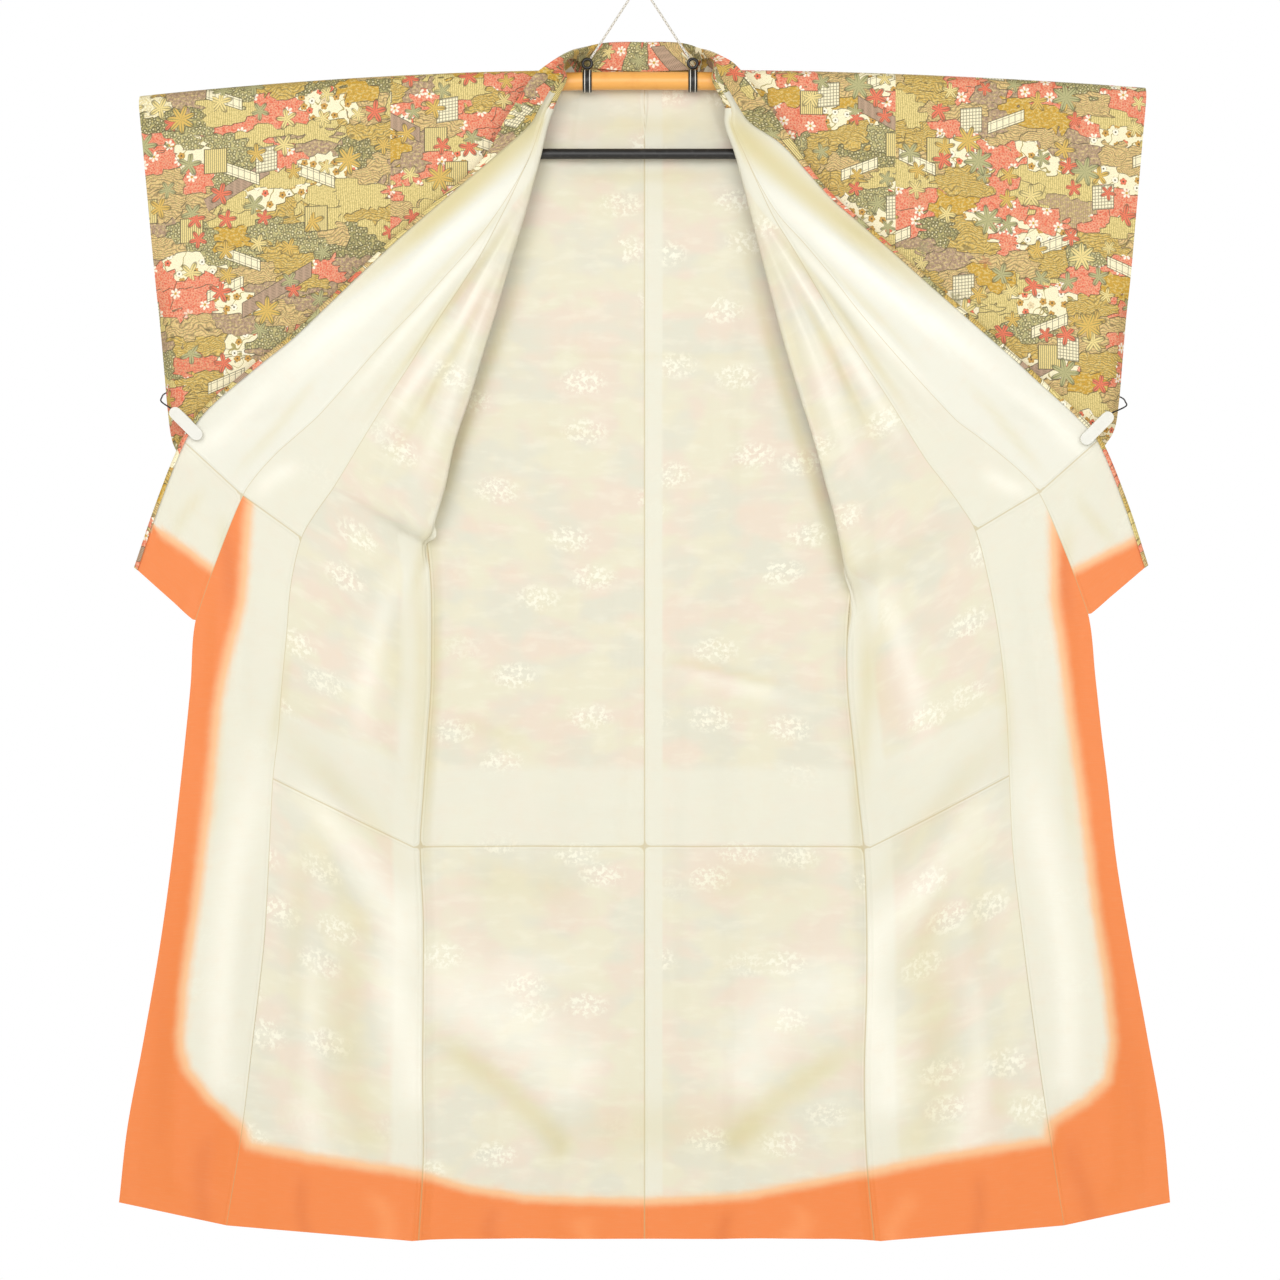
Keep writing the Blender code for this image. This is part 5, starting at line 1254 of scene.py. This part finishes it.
class Cloth:
    """A fine grid of points with cloth coordinates in cm, and the coarse cell that each fine cell is in."""

    def __init__(self, points, across_from=0, down_column=3):
        coarse = filled(points)
        down = run_length(coarse)[:, down_column] / CM
        across = run_length(coarse.transpose(1, 0, 2)).T / CM
        across = across - across[:, [across_from]]
        down = np.repeat(down[:, None], coarse.shape[1], 1)
        data = np.concatenate([coarse, across[..., None], down[..., None]], axis=2)
        turned = data.transpose(1, 0, 2)
        across_counts = spans(turned)
        data = curve_through(turned, across_counts).transpose(1, 0, 2)
        down_counts = spans(coarse)
        data = curve_through(data, down_counts)
        self.points = data[..., :3]
        self.uv = data[..., 3:]
        self.row_at = fine_places(down_counts)
        self.column_at = fine_places(across_counts)
        self.row_of = self.row_at[:-1].astype(int)
        self.column_of = self.column_at[:-1].astype(int)
        self.coarse = points

    def normals(self, sign):
        down = np.gradient(self.points, axis=0)
        across = np.gradient(self.points, axis=1)
        normals = np.cross(across, down) * sign
        return normals / np.maximum(np.linalg.norm(normals, axis=2, keepdims=True), 1e-12)

    def front_view(self):
        """x from the centre line and drop below the rod, in centimetres."""
        return self.points[..., 0] / CM - CENTRE_X, -self.points[..., 2] / CM - ROD_DROP

    def crease(self, creases, amount=1.0):
        """Moves the points towards the viewer by soft ridges and troughs, each along a line."""
        self.points[..., 1] -= self.along_lines(creases) * amount * CM

    def along_lines(self, creases):
        """The sum of soft bands along lines, as seen from the front."""
        x, drop = self.front_view()
        height = np.zeros_like(x)
        for x0, d0, x1, d1, width, rise in creases:
            length2 = (x1 - x0)**2 + (d1 - d0)**2
            along = ((x - x0) * (x1 - x0) + (drop - d0) * (d1 - d0)) / length2
            t = np.clip(along, 0.0, 1.0)
            wobble = 0.5 * np.sin(along * 5.0 + x0) * width
            distance = np.hypot(x - (x0 + (x1 - x0) * t) + wobble, drop - (d0 + (d1 - d0) * t))
            through_hem = d1 > THROUGH_HEM_DROP
            ends = np.clip(along * 3.0, 0.0, 1.0) * np.clip((1.0 - along) * 3.0 + through_hem, 0.0, 1.0)
            height += rise * ends * np.exp(-(distance / width)**2)
        return height


def beyond(line, x, drop, soft):
    """Soft 0 to 1 across an open line of points, 1 on the side towards the hem and the outer edge."""
    best = np.full(x.shape, 1e9)
    side = np.zeros(x.shape)
    for (x0, d0), (x1, d1) in zip(line, line[1:]):
        ex, ed = x1 - x0, d1 - d0
        t = np.clip(((x - x0) * ex + (drop - d0) * ed) / (ex * ex + ed * ed), 0.0, 1.0)
        away = np.hypot(x - x0 - t * ex, drop - d0 - t * ed)
        nearer = away < best
        best = np.where(nearer, away, best)
        side = np.where(nearer, np.sign((drop - d0) * ex - (x - x0) * ed), side)
    return smooth_array(0.5 + 0.5 * side * best / soft)


def add_object(name, data):
    made = bpy.data.objects.new(name, data)
    bpy.context.scene.collection.objects.link(made)
    return made


def add_mesh(name, mesh, material):
    """An object from a bmesh, which is freed."""
    data = bpy.data.meshes.new(name)
    mesh.to_mesh(data)
    mesh.free()
    data.materials.append(material)
    return add_object(name, data)


def register(piece, slot_name, nodes):
    """Ties a piece to the root body and hides the nodes that it stands for; nodes names them, with spaces
    between. slot_name is not used.
    """
    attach(piece, "root")
    if nodes:
        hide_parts(*nodes.split())
    return piece


def shell(name, finish, cloth, sign, layer, nodes, keep, paint, print_at):
    """A thin shell of cloth in a layer of the solids' own, standing for the named nodes.

    keep says which coarse cells belong to it. paint has a value at each fine point for each of the
    finish's attributes.
    """
    offset, wall = layer
    placed = cloth.points + cloth.normals(sign) * offset * CM
    rows, columns = placed.shape[:2]
    mesh = bmesh.new()
    uv_layer = mesh.loops.layers.uv.new("cloth")
    painted = [(mesh.verts.layers.float.new(key), values) for key, values in (paint or {}).items()]
    made = {}

    def vertex(i, j):
        if (i, j) not in made:
            vert = mesh.verts.new(placed[i, j])
            for attribute, values in painted:
                vert[attribute] = float(values[i, j])
            made[i, j] = vert
        return made[i, j]

    def shown(ci, cj):
        corners = cloth.coarse[ci][cj:cj + 2] + cloth.coarse[ci + 1][cj:cj + 2]
        return None not in corners and (keep is None or keep(ci, cj))

    for i in range(rows - 1):
        for j in range(columns - 1):
            if not shown(cloth.row_of[i], cloth.column_of[j]):
                continue
            at_corners = [(i, j), (i, j + 1), (i + 1, j + 1), (i + 1, j)]
            if sign < 0:
                at_corners.reverse()
            face = mesh.faces.new([vertex(*c) for c in at_corners])
            face.smooth = True
            for loop, (a, b) in zip(face.loops, at_corners):
                u, v = cloth.uv[a, b]
                loop[uv_layer].uv = (sign * u + print_at[0], -v + print_at[1])
    piece = add_mesh(name, mesh, MADE[finish])
    thick = piece.modifiers.new("thickness", "SOLIDIFY")
    thick.thickness = wall * CM
    thick.offset = 0.0
    apply_modifiers(piece)
    piece.data.set_sharp_from_angle(angle=math.radians(SHARP_DEGREES))
    return register(piece, "cream_lining" if finish == "collar_lining" else finish, nodes)


def apply_modifiers(piece):
    bpy.context.view_layer.update()
    made = bpy.data.meshes.new_from_object(piece.evaluated_get(bpy.context.evaluated_depsgraph_get()))
    piece.modifiers.clear()
    old = piece.data
    piece.data = made
    bpy.data.meshes.remove(old)


# Hard pieces, cords, light and camera

def collect(name, mesh, slot_name, nodes, material_name=None):
    piece = add_mesh(name, mesh, MADE[material_name or slot_name])
    piece.data.shade_smooth()
    return register(piece, slot_name, nodes)


def bridge_rings(mesh, first, second):
    """The faces between two rings of as many vertices."""
    around = len(first)
    return [mesh.faces.new((first[n], first[(n + 1) % around], second[(n + 1) % around], second[n]))
            for n in range(around)]


def sweep(mesh, path, profile, closed=False, up=Vector((0.0, 1.0, 0.0))):
    """Rings of the profile's (across, up) points in cm along a path in cm, with cloth coordinates."""
    uv_layer = mesh.loops.layers.uv.new("cloth")
    rings, travelled, lengths = [], 0.0, []
    count = len(path)
    for k, point in enumerate(path):
        before = path[k - 1] if k or closed else point
        after = path[(k + 1) % count] if k < count - 1 or closed else point
        along = (Vector(after) - Vector(before)).normalized()
        across = along.cross(up).normalized()
        lift = across.cross(along).normalized()
        travelled += (Vector(point) - Vector(path[k - 1])).length if k else 0.0
        lengths.append(travelled)
        rings.append([mesh.verts.new((Vector(point) + across * a + lift * b) * CM) for a, b in profile])
    around = len(profile)
    for k in range(count if closed else count - 1):
        start, end = lengths[k], lengths[k + 1] if k + 1 < count else travelled + 1.0
        for n, face in enumerate(bridge_rings(mesh, rings[k], rings[(k + 1) % count])):
            for loop, at in zip(face.loops, ((n, start), (n + 1, start), (n + 1, end), (n, end))):
                loop[uv_layer].uv = (at[0] / around, at[1])
    if not closed:
        mesh.faces.new(rings[0][::-1])
        mesh.faces.new(rings[-1])
    bmesh.ops.recalc_face_normals(mesh, faces=mesh.faces)


def tube(name, path, profile, slot_name, nodes, **options):
    """A swept piece of its own."""
    mesh = bmesh.new()
    sweep(mesh, path, profile, **options)
    return collect(name, mesh, slot_name, nodes)


def wire_ring(name, centre, radius, wire, nodes):
    """A black ring in the plane that the viewer sees."""
    path = [tuple(centre + Vector((radius * a, 0.0, radius * b))) for a, b in circle(1.0, 48)]
    tube(name, path, circle(wire), "black_plastic", nodes, closed=True)


def circle(radius, count=12):
    return [(radius * math.cos(2.0 * math.pi * k / count), radius * math.sin(2.0 * math.pi * k / count))
            for k in range(count)]


def straight(start, end, count):
    return [tuple(mix(a, b, k / (count - 1)) for a, b in zip(start, end)) for k in range(count)]


def rod_point(x, drop=0.0):
    """A point on the rod's centre line, or below it."""
    return Vector((x, 0.0, -ROD_DROP - rod_drop(x) - drop))


def hook_centre(sign):
    return rod_point(sign * RING_OUT, -RING_RADIUS - LAYER_GAP - HOOK_RADIUS - HOOK_WIRE)


RING_CENTRE = Vector((0.0, 0.0, HANG_RING_WIRE - HANG_RING_RADIUS))


def build_sling_cords():
    for side in SIDES:
        loop = hook_centre(side["sign"])
        along = (RING_CENTRE - loop).normalized()
        start = loop + along * (HOOK_RADIUS + HOOK_WIRE + LAYER_GAP)
        end = RING_CENTRE - along * (HANG_RING_RADIUS + HANG_RING_WIRE + LAYER_GAP)
        path = straight(start, end, 16)
        cord = f"sling_cord_{side['name']}"
        piece = tube(cord + "_braid", path, circle(CORD_RADIUS), "white_cord", cord)


def build_elastics():
    for side in SIDES:
        name, sign, sleeve = side["name"], side["sign"], side["sleeve"]
        outer, inner = (place(side, (out, drop, CLIP_Y)) for out, drop in CLIP_AXIS[name])
        tip = outer + (outer - inner).normalized() * (0.5 * CLIP_WIDTH + LAYER_GAP + ELASTIC_RADIUS) * CM
        edge = CENTRE_X + sign * mix(sleeve["top_out"], sleeve["bottom_out"], CLIP_ROW)
        route = [tuple(tip / CM)]
        route += [(edge + sign * out, y, outer.z / CM - drop) for out, drop, y in ELASTIC_ROUTE]
        path = smooth_route(route, 5)
        piece = tube(f"elastic_{name}_thread", path, circle(ELASTIC_RADIUS, 8), "black_elastic",
                     f"elastic_{name}", up=Vector((0.0, 0.0, 1.0)))


def build_rods():
    xs = [mix(-ROD_HALF_LENGTH, ROD_HALF_LENGTH, k / ROD_STEPS) for k in range(ROD_STEPS + 1)]
    tube("rod_lacquered", [rod_point(x) for x in xs], circle(ROD_RADIUS, 32), "rod_tan", "rod")
    end, z = ROD_HALF_LENGTH + ROD_END_TILT, -ROD_DROP - LOWER_ROD_DROP
    tube("lower_rod_moulded", straight((-end, 0.0, z), (end, 0.0, z), 60), circle(LOWER_ROD_RADIUS, 24),
         "black_plastic", "lower_rod")


def ring_profile(inner, outer, width):
    """Rounded section of a ring, with a shallow groove round its middle."""
    half = 0.5 * width
    mouth, floor, depth = RING_GROOVE
    right = [(half - RING_BEVEL, inner), (half, inner + RING_BEVEL), (half, outer - RING_BEVEL),
             (half - RING_BEVEL, outer), (mouth, outer), (floor, outer - depth)]
    return right + [(-a, r) for a, r in reversed(right)]


def turn_profile(mesh, centre, profile, count=48):
    """The (along X, radius) profile turned round the X axis."""
    rings = [[mesh.verts.new((centre + Vector((a, r * c, r * s))) * CM) for a, r in profile]
             for c, s in circle(1.0, count)]
    for first, second in zip(rings, rings[1:] + rings[:1]):
        bridge_rings(mesh, first, second)
    bmesh.ops.recalc_face_normals(mesh, faces=mesh.faces)


def build_rings():
    stripe = [(sign * STRIPE_HALF_WIDTH, RING_RADIUS + rise) for sign, rise in
              ((-1, -STRIPE_SUNK), (1, -STRIPE_SUNK), (1, STRIPE_PROUD), (-1, STRIPE_PROUD))]
    for side in SIDES:
        name, sign = side["name"], side["sign"]
        middle = rod_point(sign * RING_OUT)
        mesh = bmesh.new()
        turn_profile(mesh, middle, ring_profile(ROD_RADIUS + LAYER_GAP, RING_RADIUS, RING_WIDTH))
        ring = collect(f"rod_ring_{name}_moulded", mesh, "black_plastic", f"rod_ring_{name}")
        mesh = bmesh.new()
        for shift in (-STRIPE_OUT, STRIPE_OUT):
            turn_profile(mesh, middle + Vector((shift, 0.0, 0.0)), stripe)
        stripes = collect(f"rod_ring_{name}_stripes", mesh, "white_plastic", "", "white_paint")
        stripes.parent = ring
        wire_ring(f"rod_hook_{name}_wire", hook_centre(sign), HOOK_RADIUS, HOOK_WIRE, f"rod_hook_{name}")
    wire_ring("hang_ring_wire", RING_CENTRE, HANG_RING_RADIUS, HANG_RING_WIRE, "hang_ring")


def dress_plain_nodes():
    """Materials for the nodes whose own shape stays."""
    plain = {"end_bar_": "black_plastic", "clip_": "white_plastic", "elastic_knot_": "black_elastic"}
    for start, material_name in plain.items():
        for side in SIDES:
            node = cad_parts[start + side["name"]]
            node.data.materials.clear()
            node.data.materials.append(MADE[material_name])


def add_camera():
    data = bpy.data.cameras.new("camera")
    data.sensor_width = SENSOR_MM
    data.lens = SENSOR_MM * CAMERA_DISTANCE / FRAME_WIDTH
    camera = add_object("camera", data)
    camera.location = Vector((CAMERA_X, -CAMERA_DISTANCE - FRAME_PLANE, CAMERA_Z)) * CM
    camera.rotation_euler = (math.radians(90.0), 0.0, 0.0)
    bpy.context.scene.camera = camera


def area_light(name, place_at, aim, size, power):
    data = bpy.data.lights.new(name, "AREA")
    data.shape = "DISK"
    data.size = size
    data.energy = power
    lamp = add_object(name, data)
    lamp.location = place_at
    lamp.rotation_euler = (Vector(aim) - Vector(place_at)).to_track_quat("-Z", "Y").to_euler()


def add_world():
    """A soft, slightly warm light from all round, behind which the camera sees white."""
    world = bpy.data.worlds.new("pale studio")
    bpy.context.scene.world = world
    world.use_nodes = True
    p = Pattern(world.node_tree)
    seen = p.wire(p.node("LightPath"), "Is Camera Ray")
    level = p.node("MapRange", Value=seen, To_Min=WORLD_LIGHT, To_Max=1.0)
    p.connect(world.node_tree.nodes["Background"], Color=p.mix(seen, WORLD_TINT, PURE_WHITE),
              Strength=p.wire(level))


def add_studio():
    add_world()
    mesh = bmesh.new()
    bmesh.ops.create_circle(mesh, cap_ends=True, segments=64, radius=FLOOR_RADIUS_M)
    pale = plain_material("floor_pale", srgb(240, 239, 236), 0.8, 0.2, srgb(232, 230, 226), 20.0)
    floor = add_mesh("floor", mesh, pale)
    floor.location = (0.0, 0.0, FLOOR_Z_M)
    for light in LIGHTS:
        area_light(*light)
    bpy.context.scene.view_settings.view_transform = "Standard"


# The kimono's cloth

def seam_distance(cloth, across_rows, beside=None):
    """Distance in cm from a panel's lengthwise seams, and from its seams along the given coarse rows.

    beside is the distance from the seam on the panel's far side, where there is one.
    """
    across, down = cloth.uv[..., 0], cloth.uv[..., 1]
    away = np.abs(across) if beside is None else np.minimum(np.abs(across), beside)
    for row in across_rows:
        at = int(np.searchsorted(cloth.row_at, row))
        away = np.minimum(away, np.abs(down - down[at]))
    return away


def band(distance, middle, half):
    """1 where a distance in cm is near the middle value."""
    return smooth_array(1.0 - (np.abs(distance - middle) - half) / 0.35)


def declare(piece):
    """Reads the cloth coordinates that the piece was laid out on, in metres, and does nothing more with them.
    """
    layer = piece.data.uv_layers["cloth"].data
    corners = np.empty(len(layer) * 2)
    layer.foreach_get("uv", corners)
    corners = corners.reshape(-1, 2) * CM


def body_ghost(cloth, sign, on_front, far_seam, waists):
    """How much of the print's ghost shows: less where seam turnings lie behind the lining."""
    across, down = cloth.uv[..., 0], cloth.uv[..., 1]
    turnings = (band(across, *SIDE_TURNING) + band(far_seam, *OVERLAP_TURNING)) * on_front
    if sign > 0:
        turnings = turnings + band(far_seam, *CENTRE_TURNING) * (1.0 - on_front)
    middle, half = LINING_TURNING
    back_seam, front_seam = (down[int(np.searchsorted(cloth.row_at, waist))] for waist in waists)
    away = np.minimum(np.abs(down - back_seam - middle), np.abs(down - front_seam + middle))
    overlapped = smooth_array((half - away) / 0.8)
    return np.clip(1.0 - turnings, 0.1, 1.0) * (1.0 - LINING_TURNING_FAINTER * overlapped)


def build_body(side, print_at):
    sign, name = side["sign"], side["name"]
    cloth = Cloth(body_grid(side))
    over_rod = len(BACK_ROWS) + 1
    first_front = len(BACK_ROWS) + len(SHOULDER_ROWS)
    waist = BACK_ROWS[::-1].index(LINING_SEAM_DROP)
    neck_row, flat_row, front_waist = (first_front + FRONT_ROWS.index(drop) for drop in
                                       (NECK_LINING_START, side["flat_from"], LINING_SEAM_DROP))
    rows = cloth.row_at[:, None]
    columns = cloth.column_at[None, :]
    inwards = smooth_array(columns / 2.0)
    past_fold = smooth_array((columns - FOLD_END + 1.0) / 2.0)
    below_fold = smooth_array(rows - flat_row + 2.0)
    opened = smooth_array(rows - first_front - 2.0) * np.maximum(past_fold, below_fold)
    cloth.crease(FRONT_CREASES, opened)
    cloth.crease(BACK_CREASES, (1.0 - smooth_array((rows - len(BACK_ROWS) + 4.0) / 3.0)) * inwards)
    cloth.crease(HANGING_CREASES, smooth_array((rows - first_front) / 2.0) * (1.0 - opened) * inwards)
    x, drop = cloth.front_view()
    on_front = (rows > first_front) * 1.0
    shade = np.where(rows > front_waist - 3, beyond(ORANGE_LINES[name], x, drop, SKIRT_SOFT), 0.0) * opened
    shade = np.maximum(shade, beyond(HEM_ORANGE, x, drop, HEM_SOFT) * (1.0 - on_front))
    # Painted shade and painted highlight of the linings' folds, on the opened fronts and on the back
    painted_shading = cloth.along_lines(PAINTED_SHADING_LINES) * opened + cloth.along_lines(BACK_PAINTED_SHADING_LINES) * (1.0 - on_front)
    # The seam on a panel's far side is the overlap's on the front and the centre seam on the back
    far_seam = np.where(on_front > 0.0, np.abs(width_of(cloth) - cloth.uv[..., 0]), np.abs(x))
    paint = {"shade": shade, "painted_shading": painted_shading,
             "ghost": body_ghost(cloth, sign, on_front, far_seam, (waist, front_waist)),
             "seam": seam_distance(cloth, (waist, front_waist), far_seam)}
    front_nodes = " ".join(f"body_{stretch}_{name}" for stretch in ("shoulder", "front", "skirt"))
    parts = [
        (f"migoro_back_{name}", "komon_silk", f"body_back_{name}", lambda i, j: i < over_rod),
        (f"migoro_front_{name}", "komon_silk", front_nodes, lambda i, j: i >= over_rod),
        (f"suso_back_{name}", "shaded_lining", f"hakkake_back_{name}", lambda i, j: i < waist),
        (f"doura_back_{name}", "cream_lining", f"lining_back_{name}", lambda i, j: waist <= i < over_rod),
        (f"doura_front_{name}", "cream_lining", f"lining_front_{name}",
         lambda i, j: neck_row <= i < front_waist and (j >= FOLD_START or i >= flat_row - 4)),
        (f"suso_front_{name}", "shaded_lining", f"hakkake_front_{name}", lambda i, j: i >= front_waist),
    ]
    make_shells(parts, cloth, sign, paint, print_at)


def make_shells(parts, cloth, sign, paint, print_at):
    """The shells of one grid: name, finish, nodes, cells. The orange stays below the linings' seams."""
    for piece_name, finish, nodes, keep in parts:
        layer, painted = LINING_LAYER, paint
        if finish == "komon_silk":
            layer, painted = OUTER_LAYER, None
        elif finish != "shaded_lining":
            painted = {**paint, "shade": 0.0 * paint["ghost"]}
        declare(shell(piece_name, finish, cloth, sign, layer, nodes, keep, painted, print_at))


def width_of(cloth):
    return cloth.uv[..., 0].max(axis=1, keepdims=True)


def build_overlap(side, print_at):
    name = side["name"]
    grid = overlap_grid(side)
    # The solid's blunt end is drawn out to a point between the collar and the front
    point = place(side, front_row(side, OVERLAP_POINT_DROP)[-1])
    cloth = Cloth([[point.lerp(at, 0.1) for at in grid[0]]] + grid, down_column=1)
    cloth.crease(FRONT_CREASES)
    x, drop = cloth.front_view()
    seam = 1 + overlap_rows().index(OVERLAP_LINING_SEAM_DROP)
    # Painted shade and painted highlight along the folds go in with the orange, the ghost and the seams
    paint = {"shade": beyond(ORANGE_LINES[name], x, drop, SKIRT_SOFT), "painted_shading": cloth.along_lines(PAINTED_SHADING_LINES),
             "ghost": np.full(x.shape, OVERLAP_GHOST), "seam": seam_distance(cloth, (seam,))}
    parts = [
        (f"okumi_outer_{name}", "komon_silk", f"okumi_{name}", None),
        (f"okumi_doura_{name}", "cream_lining", f"okumi_lining_{name}", lambda i, j: i < seam),
        (f"okumi_suso_{name}", "shaded_lining", f"hakkake_okumi_{name}", lambda i, j: i >= seam),
    ]
    make_shells(parts, cloth, side["sign"], paint, print_at)


def build_collar():
    cloth = Cloth(collar_grid(LEFT)[::-1] + collar_grid(RIGHT)[1:])
    centre = len(cloth.coarse) // 2
    neck_stations = 3 + len(SHOULDER_ROWS)
    over_end, lining_start, end_start = (
        neck_stations + FRONT_ROWS.index(drop)
        for drop in (OVER_COLLAR_END_DROP, COLLAR_LINING_START, OVERLAP_LINING_SEAM_DROP))

    def stretch(left, start, end=math.inf, columns=math.inf):
        """Test for the cells of one side from one station to another, counted from the centre back."""
        def keep(i, j):
            reach = centre - 1 - i if i < centre else i - centre
            return (i < centre) == left and start <= reach < end and j < columns
        return keep

    far = np.abs(cloth.row_at[:, None] - centre)
    cloth.crease(FRONT_CREASES, smooth_array((far - neck_stations - 1.0) / 4.0))
    x, drop = cloth.front_view()
    sides = [beyond(COLLAR_ORANGE[side["name"]], x, drop, COLLAR_SOFT) for side in SIDES]
    shade = np.where(drop < COLLAR_ORANGE_FROM, 0.0, np.where(x < 0.0, *sides))
    # As on the overlap panels, painted shade and painted highlight along the collar's turn and folds
    paint = {"shade": shade, "painted_shading": cloth.along_lines(PAINTED_SHADING_LINES), "ghost": np.full(x.shape, COLLAR_GHOST),
             "seam": seam_distance(cloth, (centre - end_start, centre + end_start))}
    parts = [("eri_over", "komon_silk", "over_collar",
              lambda i, j: centre - over_end <= i < centre + over_end)]
    for side in SIDES:
        name, left = side["name"], side is LEFT
        parts += [
            (f"eri_{name}", "komon_silk", f"collar_{name}", stretch(left, over_end)),
            (f"eri_lining_{name}", "collar_lining", f"collar_lining_{name}",
             stretch(left, lining_start, end_start, COLLAR_HALF_COLUMNS)),
            (f"eri_end_lining_{name}", "shaded_lining", f"collar_end_lining_{name}",
             stretch(left, end_start, columns=COLLAR_HALF_COLUMNS)),
        ]
    make_shells(parts, cloth, 1, paint, COLLAR_PRINT)


def build_sleeve(side, print_at):
    cloth = Cloth(sleeve_grid(side), across_from=-1)
    rows = cloth.row_at[:, None]
    columns = cloth.column_at[None, :]
    last_row, last_column = len(cloth.coarse) - 1.0, len(cloth.coarse[0]) - 1.0
    free = smooth_array(columns / 2.0) * smooth_array((last_column - columns) / 2.0)
    from_rod = np.abs(rows - 0.5 * last_row)
    free = free * smooth_array((from_rod - 2.0) / 2.0) * smooth_array((0.5 * last_row - from_rod) / 2.0)
    cloth.crease(SLEEVE_CREASES, free)
    paint = {"ghost": np.full(free.shape, SLEEVE_GHOST), "painted_shading": 0.0 * free, "seam": seam_distance(cloth, ())}
    name = side["name"]
    parts = [(f"sode_{name}", "komon_silk", f"sleeve_{name}", None),
             (f"sode_lining_{name}", "cream_lining", "", None)]
    make_shells(parts, cloth, side["sign"], paint, print_at)


def main():
    add_camera()
    build_sling_cords()
    build_elastics()
    add_studio()
    build_rods()
    build_rings()
    dress_plain_nodes()
    for side in SIDES:
        across = PRINT_ACROSS[side["name"]]
        build_body(side, (across, 0.0))
        build_overlap(side, (across + OVERLAP_PRINT[0], OVERLAP_PRINT[1]))
        build_sleeve(side, (across + SLEEVE_PRINT[0], SLEEVE_PRINT[1] + across))
    build_collar()


main()
